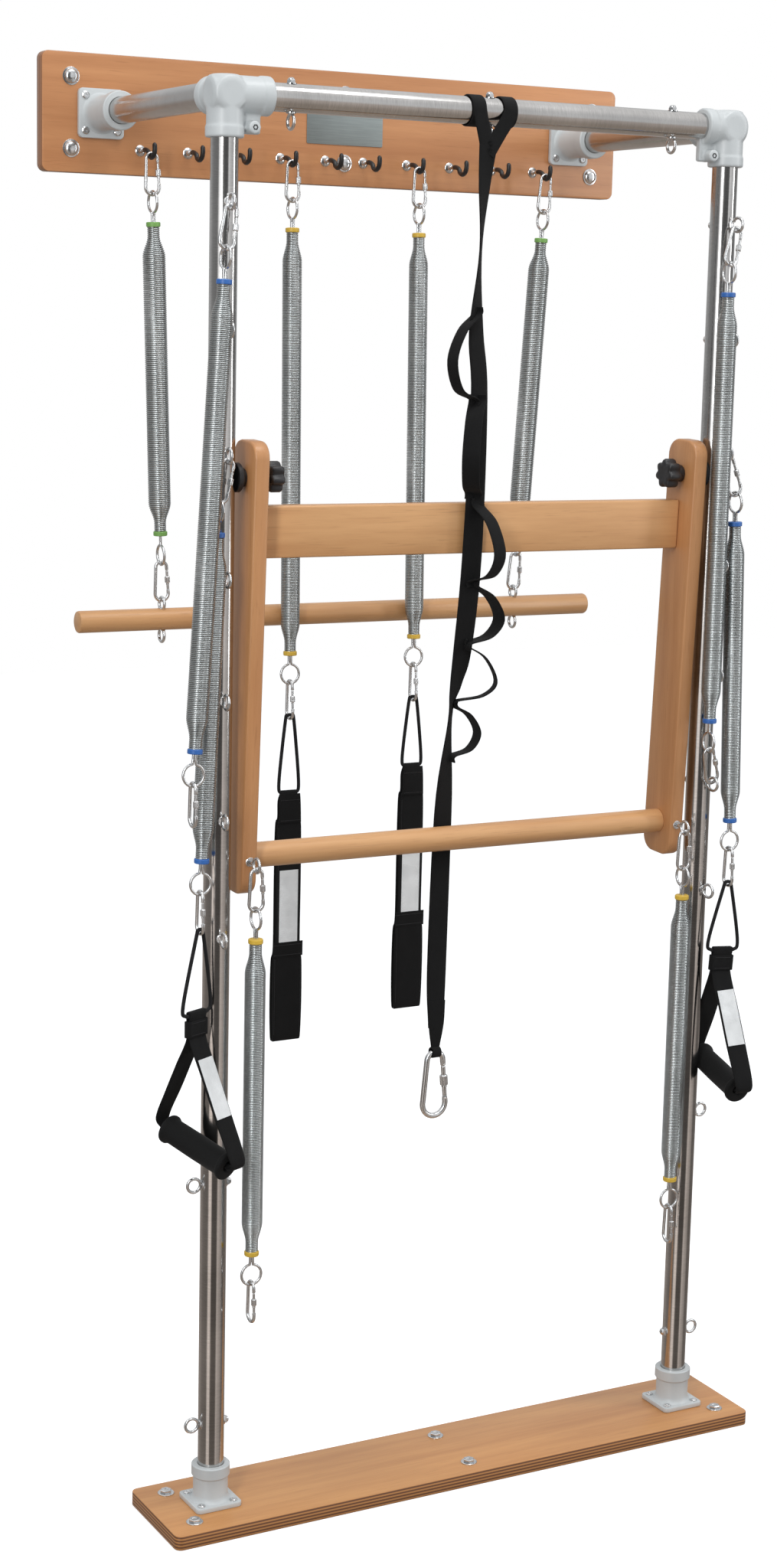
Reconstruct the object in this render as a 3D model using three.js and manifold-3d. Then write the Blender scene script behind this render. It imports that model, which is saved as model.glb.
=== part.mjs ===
// Wall-mounted pilates tower: two uprights on a floor board, tied at the top to a wall board,
// with a push-through frame, ten hanging springs, a roll-down bar, straps and handles.
// Tower frame: x along the boards, y towards the wall, z up from the floor board's top face.
// The group at the end moves the origin to the middle of the wall board's back face.
import * as THREE from "three";
import { mergeVertices } from "three/addons/utils/BufferGeometryUtils.js";
import Module from "manifold-3d";

const wasm = await Module();
wasm.setup();

const degree = Math.PI / 180;
const turn = 2 * Math.PI;
const mergeStep = 0.0005;
const fitGap = 0.3;
const linkGap = 0.35;

function vec(x, y, z) {
  return new THREE.Vector3(x, y, z);
}

const along = { x: vec(1, 0, 0), y: vec(0, 1, 0), z: vec(0, 0, 1) };
const down = vec(0, 0, -1);
const toFront = vec(0, -1, 0);

// A point some way from another one along a direction.
function step(point, direction, distance) {
  return point.clone().addScaledVector(direction, distance);
}

// The part of a direction that is square to an axis, at unit length.
function squareTo(axis, direction) {
  return direction.clone().addScaledVector(axis, -direction.dot(axis)).normalize();
}

function toSolid(geometry) {
  const source = geometry.index ? geometry.toNonIndexed() : geometry;
  const plain = new THREE.BufferGeometry();
  plain.setAttribute("position", source.getAttribute("position"));
  const merged = mergeVertices(plain, mergeStep);
  const vertProperties = merged.attributes.position.array;
  const triVerts = new Uint32Array(merged.index.array);
  const solid = new wasm.Manifold(new wasm.Mesh({ numProp: 3, vertProperties, triVerts }));
  if (solid.volume() >= 0) return solid;
  for (let i = 0; i < triVerts.length; i += 3) {
    [triVerts[i + 1], triVerts[i + 2]] = [triVerts[i + 2], triVerts[i + 1]];
  }
  return new wasm.Manifold(new wasm.Mesh({ numProp: 3, vertProperties, triVerts }));
}

function join(...solids) {
  return solids.flat(Infinity).reduce((whole, piece) => whole.add(piece));
}

// A turned solid: the profile holds [radius, distance] pairs along an axis from one point to another.
function turned(profile, sides, from, to) {
  const points = profile.map(([radius, distance]) => new THREE.Vector2(radius, distance));
  const direction = to.clone().sub(from).normalize();
  const lathe = new THREE.LatheGeometry(points, sides);
  lathe.applyQuaternion(new THREE.Quaternion().setFromUnitVectors(along.y, direction));
  lathe.translate(from.x, from.y, from.z);
  return toSolid(lathe);
}

function rod(radius, sides, from, to) {
  const length = from.distanceTo(to);
  const profile = [
    [0, 0],
    [radius, 0],
    [radius, length],
    [0, length],
  ];
  return turned(profile, sides, from, to);
}

function pipe(outer, inner, sides, from, to) {
  const length = from.distanceTo(to);
  const profile = [
    [outer, 0],
    [outer, length],
    [inner, length],
    [inner, 0],
    [outer, 0],
  ];
  return turned(profile, sides, from, to);
}

// A flat plate with rounded corners: width along x, height along y, both in the given frame.
function plate(width, height, corner, thickness, frame, cornerSteps) {
  const halfWidth = width / 2;
  const halfHeight = height / 2;
  const shape = new THREE.Shape();
  shape.absarc(halfWidth - corner, halfHeight - corner, corner, 0, turn / 4, false);
  shape.absarc(corner - halfWidth, halfHeight - corner, corner, turn / 4, turn / 2, false);
  shape.absarc(corner - halfWidth, corner - halfHeight, corner, turn / 2, (turn * 3) / 4, false);
  shape.absarc(halfWidth - corner, corner - halfHeight, corner, (turn * 3) / 4, turn, false);
  const options = { depth: thickness, bevelEnabled: false, curveSegments: cornerSteps };
  const flat = new THREE.ExtrudeGeometry(shape, options);
  flat.applyMatrix4(frame);
  return toSolid(flat);
}

function frameAt(origin, x, y) {
  const z = x.clone().cross(y);
  return new THREE.Matrix4().makeBasis(x, y, z).setPosition(origin);
}

// A solid between rings of points, each a closed outline, with two end caps unless it closes on itself.
function skin(rings, closed, paired = false) {
  const count = rings[0].length;
  const spots = [];
  const quads = closed ? rings.length : rings.length - 1;
  for (let i = 0; i < quads; i++) {
    const here = rings[i];
    const next = rings[(i + 1) % rings.length];
    for (let k = 0; k < count; k++) {
      const l = (k + 1) % count;
      if (paired && k >= count / 2) spots.push(here[k], here[l], next[k], here[l], next[l], next[k]);
      else spots.push(here[k], here[l], next[l], here[k], next[l], next[k]);
    }
  }
  if (!closed) {
    const first = rings[0];
    const last = rings[rings.length - 1];
    for (let k = 1; k + 1 < count; k++) {
      spots.push(first[0], first[k + 1], first[k], last[0], last[k], last[k + 1]);
    }
  }
  return toSolid(new THREE.BufferGeometry().setFromPoints(spots));
}

// The directions of the two runs that meet at a point; at an open end both are the same run's.
function runsAt(points, i, closed) {
  const count = points.length;
  const before = closed ? points[(i + count - 1) % count] : points[Math.max(i - 1, 0)];
  const after = closed ? points[(i + 1) % count] : points[Math.min(i + 1, count - 1)];
  const arriving = points[i].clone().sub(before);
  const leaving = after.clone().sub(points[i]);
  if (arriving.lengthSq() === 0) return [leaving.normalize(), leaving];
  if (leaving.lengthSq() === 0) return [arriving.normalize(), arriving];
  return [arriving.normalize(), leaving.normalize()];
}

function tangentAt(points, i, closed) {
  const [arriving, leaving] = runsAt(points, i, closed);
  return arriving.clone().add(leaving).normalize();
}

// How much a mitred corner shortens a section: the cosine of half the bend.
function mitre(points, i, closed) {
  const [arriving, leaving] = runsAt(points, i, closed);
  return Math.sqrt((1 + arriving.dot(leaving)) / 2);
}

// A round wire along points that lie near one plane; the normal is square to that plane.
function wire(points, radii, sides, normal, closed) {
  const rings = points.map((point, i) => {
    const forward = tangentAt(points, i, closed);
    const side = forward.clone().cross(normal).normalize();
    const up = side.clone().cross(forward).normalize();
    const radius = Array.isArray(radii) ? radii[i] : radii;
    const reach = radius / mitre(points, i, closed);
    return Array.from({ length: sides }, (_, k) => {
      const angle = (turn * k) / sides + turn / 2;
      return step(step(point, side, reach * Math.cos(angle)), up, radius * Math.sin(angle));
    });
  });
  return skin(rings, closed);
}

// A flat band: each station has a point, the direction across the band and half its width.
function band(stations, thickness, closed) {
  const points = stations.map((s) => s.at);
  const rings = stations.map((s, i) => {
    const across = squareTo(tangentAt(points, i, closed), s.across);
    const face = tangentAt(points, i, closed).cross(across).normalize();
    const corners = [
      [1, 1],
      [-1, 1],
      [-1, -1],
      [1, -1],
    ];
    return corners.map(([a, f]) => step(step(s.at, across, a * s.half), face, (f * thickness) / 2));
  });
  return skin(rings, closed, true);
}

// Points of a polygon round a circle, with flats square to both directions so that a link rests on a flat.
function ringPoints(centre, a, b, radius, count) {
  const reach = radius / Math.cos(turn / count / 2);
  return Array.from({ length: count }, (_, i) => {
    const angle = (turn * (i + 1 / 2)) / count;
    return step(step(centre, a, reach * Math.cos(angle)), b, reach * Math.sin(angle));
  });
}

const wireSides = 4;
const ringSteps = 8;
const eyeSteps = 6;

function ring(centre, a, b, radius, thick, steps) {
  return wire(ringPoints(centre, a, b, radius, steps), thick, wireSides, a.clone().cross(b), true);
}

// Looks
function look(color, roughness, metalness) {
  return new THREE.MeshStandardMaterial({ color, roughness, metalness });
}

const beech = look(0xc89058, 0.45, 0);
const steel = look(0xb9b6b2, 0.25, 1);
const zinc = look(0xc4c6c8, 0.3, 1);
const casting = look(0xb4babd, 0.5, 0.1);
const blackPlastic = look(0x191a1c, 0.5, 0);
const foam = look(0x141414, 0.9, 0);
const webbing = look(0x121214, 0.95, 0);

// The whole tower, in its own frame; the part's origin is the middle of the wall board's back face.
const tower = new THREE.Group();

function home(name, at) {
  const group = new THREE.Group();
  group.name = name;
  group.position.copy(at);
  tower.add(group);
  return group;
}

// A named mesh from a solid made in the tower's frame, held in the tower or in a group of its own place.
function add(name, solid, material, group = tower) {
  const raw = solid.getMesh();
  const spots = new Float32Array(raw.numVert * 3);
  for (let i = 0; i < raw.numVert; i++) {
    spots.set(raw.vertProperties.subarray(i * raw.numProp, i * raw.numProp + 3), i * 3);
  }
  const geometry = new THREE.BufferGeometry();
  geometry.setAttribute("position", new THREE.BufferAttribute(spots, 3));
  geometry.setIndex(new THREE.BufferAttribute(raw.triVerts, 1));
  if (group !== tower) geometry.translate(-group.position.x, -group.position.y, -group.position.z);
  const mesh = new THREE.Mesh(geometry, material);
  mesh.name = name;
  group.add(mesh);
}

// Frame tubes
const tubeRadius = 21;
const tubeInner = 18.5;
const boreRadius = tubeRadius + fitGap;
const tubeSides = 12;
const fittingSides = 12;
const uprightX = 450;
const crossbarZ = 2205;
const cornerClear = 24;

// Boards
const boardLength = 1100;
const boardWidth = 190;
const boardThick = 24;
const boardCorner = 12;
const boardCornerSteps = 2;
const wallY = 486;
const headRadius = 12;
const headHeight = 7;
const headSides = 6;
const screwSides = 6;
const headCrownShare = 0.62;
const headEdgeShare = 0.33;
const plainCornerSteps = 1;
const floorBoltInset = 47;
const wallBoltInset = 50;
const floorBoltX = boardLength / 2 - floorBoltInset;
const wallBoltX = boardLength / 2 - wallBoltInset;
const boltOffset = 57;

// A domed bolt head standing on a face.
function head(radius, height, at, outwards) {
  const profile = [
    [0, -fitGap],
    [radius, -fitGap],
    [radius, height * headEdgeShare],
    [radius * headCrownShare, height],
    [0, height],
  ];
  return turned(profile, headSides, at, step(at, outwards, height));
}

function boltSpots(reach) {
  return [-reach, 0, reach].flatMap((x) => [
    [x, -boltOffset],
    [x, boltOffset],
  ]);
}

const floorFrame = frameAt(vec(0, 0, -boardThick), along.x, along.y);
const floorSlab = plate(boardLength, boardWidth, boardCorner, boardThick, floorFrame, boardCornerSteps);
const floorHeads = boltSpots(floorBoltX).map(([x, y]) => head(headRadius, headHeight, vec(x, y, 0), along.z));
add("floor_board", join(floorSlab, floorHeads), beech);

// Flange sockets on the two boards
const flangeSide = 79;
const flangeCorner = 8;
const flangeThick = 8;
const flangeScrew = 28;
const flangeHeadRadius = 6.5;
const flangeHeadHeight = 2.5;
const socketRadius = 28;
const wallSocketLength = 91;
const floorSocketLength = 67;
const collarRadius = 31;
const collarLength = 19;

// A square flange with a round socket of a length, standing off a face by the fit gap.
function flangeSocket(onFace, outwards, sideways, socketLength) {
  const base = step(onFace, outwards, fitGap);
  const up = outwards.clone().cross(sideways);
  const flangeFrame = frameAt(base, sideways, up);
  const flange = plate(flangeSide, flangeSide, flangeCorner, flangeThick, flangeFrame, plainCornerSteps);
  const profile = [
    [0, flangeThick / 2],
    [socketRadius, flangeThick / 2],
    [socketRadius, socketLength - collarLength],
    [collarRadius, socketLength - collarLength],
    [collarRadius, socketLength],
    [boreRadius, socketLength],
    [boreRadius, flangeThick],
    [0, flangeThick],
  ];
  const socket = turned(profile, fittingSides, base, step(base, outwards, socketLength));
  const heads = [-flangeScrew, flangeScrew].flatMap((a) =>
    [-flangeScrew, flangeScrew].map((b) => {
      const spot = step(step(step(base, outwards, flangeThick), sideways, a), up, b);
      const top = step(spot, outwards, flangeHeadHeight);
      return rod(flangeHeadRadius, screwSides, step(spot, outwards, -fitGap), top);
    }),
  );
  return join(flange, socket, heads);
}

// Eye bolts
const eyeRadius = 11;
const eyeWire = 2.5;
const eyeReach = 34;
const shankRadius = 3;
const nutSides = 6;
const eyeSink = 1.2;
const eyeNutRadius = 7;
const eyeNutLength = 5;
const nutTip = 3;

// An eye bolt on a piece: its ring in front, and its nut and shank tip behind, both sunk a little.
function eyeBolt(centre, outwards, reach, front, back, upwards) {
  const eye = ring(step(centre, outwards, reach), upwards, outwards, eyeRadius, eyeWire, eyeSteps);
  const shankStart = step(centre, outwards, reach - eyeRadius);
  const shank = rod(shankRadius, wireSides, shankStart, step(centre, outwards, front - eyeSink));
  const profile = [
    [0, -eyeSink],
    [eyeNutRadius, -eyeSink],
    [eyeNutRadius, eyeNutLength],
    [shankRadius, eyeNutLength + nutTip],
    [0, eyeNutLength + nutTip],
  ];
  const backFace = step(centre, outwards, -back);
  const nut = turned(profile, nutSides, backFace, step(backFace, outwards, -nutTip));
  return [eye, shank, nut];
}

// Uprights
const eyeTop = 2050;
const eyePitch = 185.5;
const eyeCount = 7;
const lowEyes = [537, 136];
const eyeTurns = { left: 4 * degree, right: 11 * degree };
const hands = { left: -1, right: 1 };

function eyeDirection(hand) {
  const angle = eyeTurns[hand];
  return vec(hands[hand] * Math.sin(angle), -Math.cos(angle), 0);
}

function eyeLevel(index) {
  return eyeTop - eyePitch * index;
}

for (const hand of ["left", "right"]) {
  const x = hands[hand] * uprightX;
  const base = home("upright_side_" + hand, vec(x, 0, 0));
  const bottom = vec(x, 0, fitGap + flangeThick + fitGap);
  const shaft = pipe(tubeRadius, tubeInner, tubeSides, bottom, vec(x, 0, crossbarZ - cornerClear));
  const levels = Array.from({ length: eyeCount }, (_, i) => eyeLevel(i));
  const front = eyeDirection(hand);
  const outwards = vec(hands[hand], 0, 0);
  const eyes = levels.map((z) => eyeBolt(vec(x, 0, z), front, eyeReach, tubeRadius, tubeRadius, along.z));
  const lows = lowEyes.map((z) => eyeBolt(vec(x, 0, z), outwards, eyeReach, tubeRadius, tubeRadius, along.z));
  add("upright_" + hand, join(shaft, eyes, lows), steel, base);
  add("floor_socket_" + hand, flangeSocket(vec(x, 0, 0), along.z, along.x, floorSocketLength), casting, base);
  const wallMount = vec(x, wallY, crossbarZ);
  const wallHome = home("wall_side_" + hand, wallMount);
  add("wall_flange_" + hand, flangeSocket(wallMount, toFront, along.x, wallSocketLength), casting, wallHome);
  const armEnd = vec(x, wallY - fitGap - flangeThick - fitGap, crossbarZ);
  const wallArm = pipe(tubeRadius, tubeInner, tubeSides, vec(x, cornerClear, crossbarZ), armEnd);
  add("wall_arm_" + hand, wallArm, steel, wallHome);
}

// Crossbar with its three eye bolts
const crossEyeX = 342;
const crossEyeReach = 34;
const crossShaft = pipe(
  tubeRadius,
  tubeInner,
  tubeSides,
  vec(cornerClear - uprightX, 0, crossbarZ),
  vec(uprightX - cornerClear, 0, crossbarZ),
);
const crossEyes = [-crossEyeX, 0, crossEyeX].map((x) =>
  eyeBolt(vec(x, 0, crossbarZ), down, crossEyeReach, tubeRadius, tubeRadius, along.y),
);
add("top_crossbar", join(crossShaft, crossEyes), steel, home("crossbar", vec(0, 0, crossbarZ)));

// Corner fittings: the same three-way casting on both sides, turned, so its long mouth faces a different way
const fittingRadius = 27.5;
const fittingDrop = 63;
const longMouth = 72;
const shortMouth = 50;
const bossX = 411;
const bossDrop = 47;
const bossRadius = 9;
const bossFront = 24;
const bossSides = 10;
const gussetThick = 12;
const gussetDepth = 58;

function cornerFitting(hand) {
  const sign = hands[hand];
  const centre = vec(sign * uprightX, 0, crossbarZ);
  const inward = vec(-sign, 0, 0);
  const mouths = [
    [down, fittingDrop],
    [inward, hand === "left" ? longMouth : shortMouth],
    [along.y, hand === "left" ? shortMouth : longMouth],
  ];
  const arms = mouths.map(([direction, reach]) =>
    rod(fittingRadius, fittingSides, step(centre, direction, -fittingRadius), step(centre, direction, reach)),
  );
  const bores = mouths.map(([direction, reach]) =>
    rod(
      boreRadius,
      tubeSides,
      step(centre, direction, cornerClear - fitGap),
      step(centre, direction, reach + cornerClear),
    ),
  );
  const bossCentre = vec(sign * bossX, 0, crossbarZ - bossDrop);
  const boss = rod(bossRadius, bossSides, step(bossCentre, along.y, -bossFront), bossCentre);
  const gusset = new THREE.BoxGeometry(gussetDepth, gussetThick, gussetDepth);
  gusset.translate(sign * (uprightX - gussetDepth / 2), 0, crossbarZ - gussetDepth / 2);
  const outside = join(arms, boss, toSolid(gusset));
  return bores.reduce((whole, bore) => whole.subtract(bore), outside);
}

for (const hand of ["left", "right"]) {
  const corner = home("corner_" + hand, vec(hands[hand] * uprightX, 0, crossbarZ));
  add("corner_fitting_" + hand, cornerFitting(hand), casting, corner);
}

// Wall board with its bolts, blank plate and ten hooks
const hookPitch = 85.5;
const hookFirst = 36.5;
const hookCount = 5;
const hookBase = 2150;
const hookRadius = 4;
const hookSides = 4;
const bowlY = 438;
const bowlZ = 2137;
const bowlRadius = 13;
const tipZ = 2160;
const hookRoot = 2;
const hookKneeShare = 1.6;
const bowlSideShare = 0.75;
const bowlRiseShare = 0.34;
const plateWidth = 146;
const plateHeight = 66;
const plateThick = 1.5;
const plateZ = 2211;
const plateCorner = 3;

function hook(x) {
  const side = bowlRadius * bowlSideShare;
  const rise = bowlRadius * bowlRiseShare;
  const points = [
    vec(x, wallY + hookRoot, hookBase),
    vec(x, bowlY + bowlRadius * hookKneeShare, hookBase),
    vec(x, bowlY + side, bowlZ + rise),
    vec(x, bowlY, bowlZ),
    vec(x, bowlY - side, bowlZ + rise),
    vec(x, bowlY - bowlRadius, tipZ),
  ];
  return wire(points, hookRadius, hookSides, along.x, false);
}

const wallFrame = frameAt(vec(0, wallY + boardThick, crossbarZ), along.x, along.z);
const wallSlab = plate(boardLength, boardWidth, boardCorner, boardThick, wallFrame, boardCornerSteps);
const wallHeads = boltSpots(wallBoltX).map(([x, z]) =>
  head(headRadius, headHeight, vec(x, wallY, crossbarZ + z), toFront),
);
const hookXs = Array.from({ length: hookCount }, (_, i) => hookFirst + hookPitch * i);
const hooks = hookXs.flatMap((x) => [hook(-x), hook(x)]);
const badgeFrame = frameAt(vec(0, wallY + plateThick, plateZ), along.x, along.z);
const badge = plate(plateWidth, plateHeight, plateCorner, plateThick * 2, badgeFrame, plainCornerSteps);
add("wall_board", join(wallSlab, wallHeads, hooks, badge), beech, home("wall", vec(0, wallY, crossbarZ)));

// Push-through frame: hangs a little back from plumb
const pivotZ = 1645;
const pushLean = 2.6 * degree;
const armInner = 387.3;
const armThick = 25;
const armDepth = 80;
const armAbove = 56;
const armBelow = 647;
const armCorner = 27;
const armCornerSteps = 4;
const studRadius = 5;
const studBore = 5.4;
const studSides = 10;
const pushRailTop = 44;
const pushRailHeight = 80;
const pushRailThick = 24;
const pushRailFront = 37;
const pushBarInset = 56;
const pushBarDown = armBelow - pushBarInset;
const pushBarRadius = 20;
const pushEyeReach = 64;
const pushHome = home("push_frame", vec(0, 0, pivotZ));
const armDown = vec(0, Math.sin(pushLean), -Math.cos(pushLean));
const armBack = vec(0, Math.cos(pushLean), Math.sin(pushLean));
const armFront = armBack.clone().negate();

function pushSpot(x, back, below) {
  return step(step(vec(x, 0, pivotZ), armBack, back), armDown, below);
}

for (const hand of ["left", "right"]) {
  const sign = hands[hand];
  const middle = pushSpot(sign > 0 ? armInner : -armInner - armThick, 0, (armBelow - armAbove) / 2);
  const armUp = armDown.clone().negate();
  const frame = frameAt(middle, armBack, armUp);
  const blank = plate(armDepth, armAbove + armBelow, armCorner, armThick, frame, armCornerSteps);
  const inside = vec(sign * (armInner - armThick), 0, pivotZ);
  const outside = vec(sign * (armInner + armThick * 2), 0, pivotZ);
  const bored = blank.subtract(rod(studBore, studSides, inside, outside));
  const eyeX = sign * (armInner + armThick / 2);
  const halfDepth = armDepth / 2;
  const eye = eyeBolt(pushSpot(eyeX, 0, pushBarDown), armFront, pushEyeReach, halfDepth, halfDepth, along.z);
  add("push_arm_" + hand, join(bored, eye), beech, pushHome);
}

const railFrame = frameAt(
  pushSpot(0, pushRailFront + pushRailThick - armDepth / 2, pushRailTop + pushRailHeight / 2),
  along.x,
  armDown.clone().negate(),
);
const railLength = 2 * (armInner - fitGap);
const railCorner = 3;
const pushRail = plate(railLength, pushRailHeight, railCorner, pushRailThick, railFrame, plainCornerSteps);
add("push_rail", pushRail, beech, pushHome);
const barEnd = armInner - fitGap;
const barSides = 12;
const pushBarEnds = [-barEnd, barEnd].map((x) => pushSpot(x, 0, pushBarDown));
const pushBar = rod(pushBarRadius, barSides, ...pushBarEnds);
add("push_bar", pushBar, beech, pushHome);

// Pivot knobs and spacers
const knobRadius = 24.5;
const knobWaist = 20.5;
const knobLobes = 7;
const knobThick = 23;
const knobHubRadius = 14;
const knobInner = 352;
const spacerDisc = 22.5;
const spacerThick = 8;
const spacerHub = 14;
const knobSteps = 2;

for (const hand of ["left", "right"]) {
  const sign = hands[hand];
  const out = vec(sign, 0, 0);
  const onAxis = (x) => vec(sign * x, 0, pivotZ);
  const count = knobLobes * knobSteps;
  const shape = new THREE.Shape();
  for (let i = 0; i < count; i++) {
    const radius = i % knobSteps ? knobWaist : knobRadius;
    const angle = (turn * i) / count;
    const x = radius * Math.cos(angle);
    const y = radius * Math.sin(angle);
    if (i) shape.lineTo(x, y);
    else shape.moveTo(x, y);
  }
  shape.closePath();
  const lobes = new THREE.ExtrudeGeometry(shape, { depth: knobThick, bevelEnabled: false });
  const side = along.z.clone().cross(out);
  const knobFrame = new THREE.Matrix4().makeBasis(side, along.z.clone().negate(), out);
  lobes.applyMatrix4(knobFrame.setPosition(onAxis(knobInner)));
  const hubEnd = armInner - fitGap;
  const hub = rod(knobHubRadius, studSides, onAxis(knobInner + knobThick / 2), onAxis(hubEnd));
  const tubeFace = uprightX - tubeRadius - fitGap;
  const stud = rod(studRadius, studSides, onAxis(hubEnd - fitGap), onAxis(tubeFace - fitGap));
  add("pivot_knob_" + hand, join(toSolid(lobes), hub, stud), blackPlastic, pushHome);
  const spacerStart = armInner + armThick + fitGap;
  const spacerLength = tubeFace - spacerStart;
  const profile = [
    [studBore, 0],
    [spacerHub, 0],
    [spacerHub, spacerLength - spacerThick],
    [spacerDisc, spacerLength - spacerThick],
    [spacerDisc, spacerLength],
    [studBore, spacerLength],
    [studBore, 0],
  ];
  const spacer = turned(profile, fittingSides, onAxis(spacerStart), onAxis(tubeFace));
  add("pivot_spacer_" + hand, spacer, blackPlastic, pushHome);
}

// Roll-down bar
const rollLength = 1000;
const rollRadius = 18.5;
const rollY = 457;
const rollZ = 1377.5;
const rollEyeX = 347;
const rollEyeUp = 26;
const rollEyeDown = 27.5;
const rollAxis = (x) => vec(x, rollY, rollZ);
const rollEyes = [-rollEyeX, rollEyeX].flatMap((x) => [
  ring(step(rollAxis(x), along.z, rollEyeUp), along.z, along.y, eyeRadius, eyeWire, eyeSteps),
  ring(step(rollAxis(x), along.z, -rollEyeDown), along.z, along.y, eyeRadius, eyeWire, eyeSteps),
]);
const rollRod = rod(rollRadius, barSides, rollAxis(-rollLength / 2), rollAxis(rollLength / 2));
add("roll_down_bar", join(rollRod, rollEyes), beech, home("roll_down", rollAxis(0)));

// Carabiners
const linkLength = 66.5;
const linkTop = 9.8;
const linkBottom = 12;
const linkWire = 2.75;
const linkSleeve = 4.2;
const sleeveShares = [0.36, 0.6];
const linkArcSteps = 8;
const linkArcTurns = [-3, -1, 1, 3];
const bigLinkLength = 110;
const bigLinkTop = 18;
const bigLinkBottom = 20;
const bigLinkWire = 4.5;
const bigLinkSleeve = 6.5;

// A pear-shaped link from its top wire's centre downwards; the normal is square to its plane.
function carabiner(top, direction, normal, length, topRadius, bottomRadius, thick, sleeve) {
  const face = squareTo(direction, normal);
  const side = direction.clone().cross(face);
  const up = direction.clone().negate();
  const arc = (centre, axis, radius, sign) => {
    const reach = radius / Math.cos(turn / linkArcSteps / 2);
    return linkArcTurns.map((k) => {
      const angle = (k * turn) / linkArcSteps / 2;
      return step(step(centre, axis, reach * Math.cos(angle)), side, sign * reach * Math.sin(angle));
    });
  };
  const upper = arc(step(top, direction, topRadius), up, topRadius, 1);
  const lower = arc(step(top, direction, length - bottomRadius), direction, bottomRadius, -1);
  const start = upper[upper.length - 1];
  const sleeves = sleeveShares.map((share) => start.clone().lerp(lower[0], share));
  const points = [...upper, ...sleeves, ...lower];
  const radii = points.map((point) => (sleeves.includes(point) ? sleeve : thick));
  return wire(points, radii, wireSides, face, true);
}

function smallLink(top, direction, normal) {
  return carabiner(top, direction, normal, linkLength, linkTop, linkBottom, linkWire, linkSleeve);
}

// Springs
const springEyeRadius = 16.75;
const springEyeWire = 2.25;
const neckRadius = 3;
const ringToCollar = 36.05;
const springCollarRadius = 11.75;
const springCollarHalf = 4;
const springCollarSides = 7;
const coilNarrow = 10.2;
const coilWall = 2.4;
const coilGap = 1;
const narrowRun = 18;
const taperEnd = 52;
const coilSteps = 8;
const coilNearSteps = 2;
const shortCurls = 4;
const longCurls = 6;
const greenRadius = 19;
const plainRadius = 16.75;
const shortSpring = 508;
const longSpring = 716;
const linkSeat = linkWire + springEyeWire + linkGap;
const eyeSeat = linkWire + eyeWire + linkGap;
const hookSlack = 0.1;
const hookSeat = linkWire + hookRadius + linkGap + hookSlack;
let leastCoilGap = Infinity;
let curlsUsed = 0;

function coilRadius(full, length, z) {
  const fromEnd = Math.min(z, length - z);
  const share = THREE.MathUtils.smoothstep(fromEnd, narrowRun, taperEnd);
  return coilNarrow + (full - coilNarrow) * share;
}

// One unbroken helical band; its turns are short near the ends, where the spring narrows.
function coil(start, direction, length, curls, full) {
  const side = squareTo(direction, along.x);
  const other = direction.clone().cross(side);
  const edge = (t) => (length * (1 - Math.cos((Math.PI * t) / (curls + 1)))) / 2;
  const spot = (radius, z, angle) => {
    const outwards = side.clone().multiplyScalar(Math.cos(angle)).addScaledVector(other, Math.sin(angle));
    return step(step(start, direction, z), outwards, radius);
  };
  const rings = [];
  const count = curls * coilSteps;
  for (let i = 0; i <= count; i++) {
    const t = i / coilSteps;
    const angle = turn * t;
    const low = edge(t);
    const high = edge(t + 1) - coilGap;
    const middle = (low + high) / 2;
    const lowRadius = coilRadius(full, length, low);
    const highRadius = coilRadius(full, length, high);
    rings.push([
      spot(lowRadius - coilWall, low, angle),
      spot(lowRadius, low, angle),
      spot(coilRadius(full, length, middle), middle, angle),
      spot(highRadius, high, angle),
      spot(highRadius - coilWall, high, angle),
    ]);
  }
  for (let i = 0; i + coilSteps <= count; i++) {
    const tops = rings[i].slice(3);
    const nearest = Math.max(0, i + coilSteps - coilNearSteps);
    const farthest = Math.min(count, i + coilSteps + coilNearSteps);
    for (let k = nearest; k < farthest; k++) {
      const here = rings[k];
      const next = rings[k + 1];
      const edges = [new THREE.Line3(here[0], next[0]), new THREE.Line3(here[1], next[1])];
      for (const line of edges) {
        for (const point of tops) {
          const spotOnEdge = line.closestPointToPoint(point, true, vec(0, 0, 0));
          leastCoilGap = Math.min(leastCoilGap, spotOnEdge.distanceTo(point));
        }
      }
    }
  }
  curlsUsed += curls;
  return skin(rings, false);
}

// A spring with a ring and a coloured collar at each end, from the top of its upper ring's wire.
function spring(top, direction, length, curls, full, upperNormal, lowerNormal) {
  const upperRing = step(top, direction, springEyeRadius);
  const upperCollar = step(upperRing, direction, ringToCollar);
  const lowerCollar = step(upperCollar, direction, length);
  const lowerRing = step(lowerCollar, direction, ringToCollar);
  const eye = (centre, normal) => {
    const face = squareTo(direction, normal);
    return ring(centre, direction, direction.clone().cross(face), springEyeRadius, springEyeWire, ringSteps);
  };
  const collar = (centre) =>
    rod(
      springCollarRadius,
      springCollarSides,
      step(centre, direction, -springCollarHalf),
      step(centre, direction, springCollarHalf),
    );
  const neck = (centre, from, sign) =>
    rod(
      neckRadius,
      wireSides,
      step(from, direction, sign * (springEyeRadius - springEyeWire / 2)),
      step(centre, direction, -sign * (springCollarHalf / 2)),
    );
  return join(
    coil(upperCollar, direction, length, curls, full),
    eye(upperRing, upperNormal),
    eye(lowerRing, lowerNormal),
    collar(upperCollar),
    collar(lowerCollar),
    neck(upperCollar, upperRing, 1),
    neck(lowerCollar, lowerRing, -1),
  );
}

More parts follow.
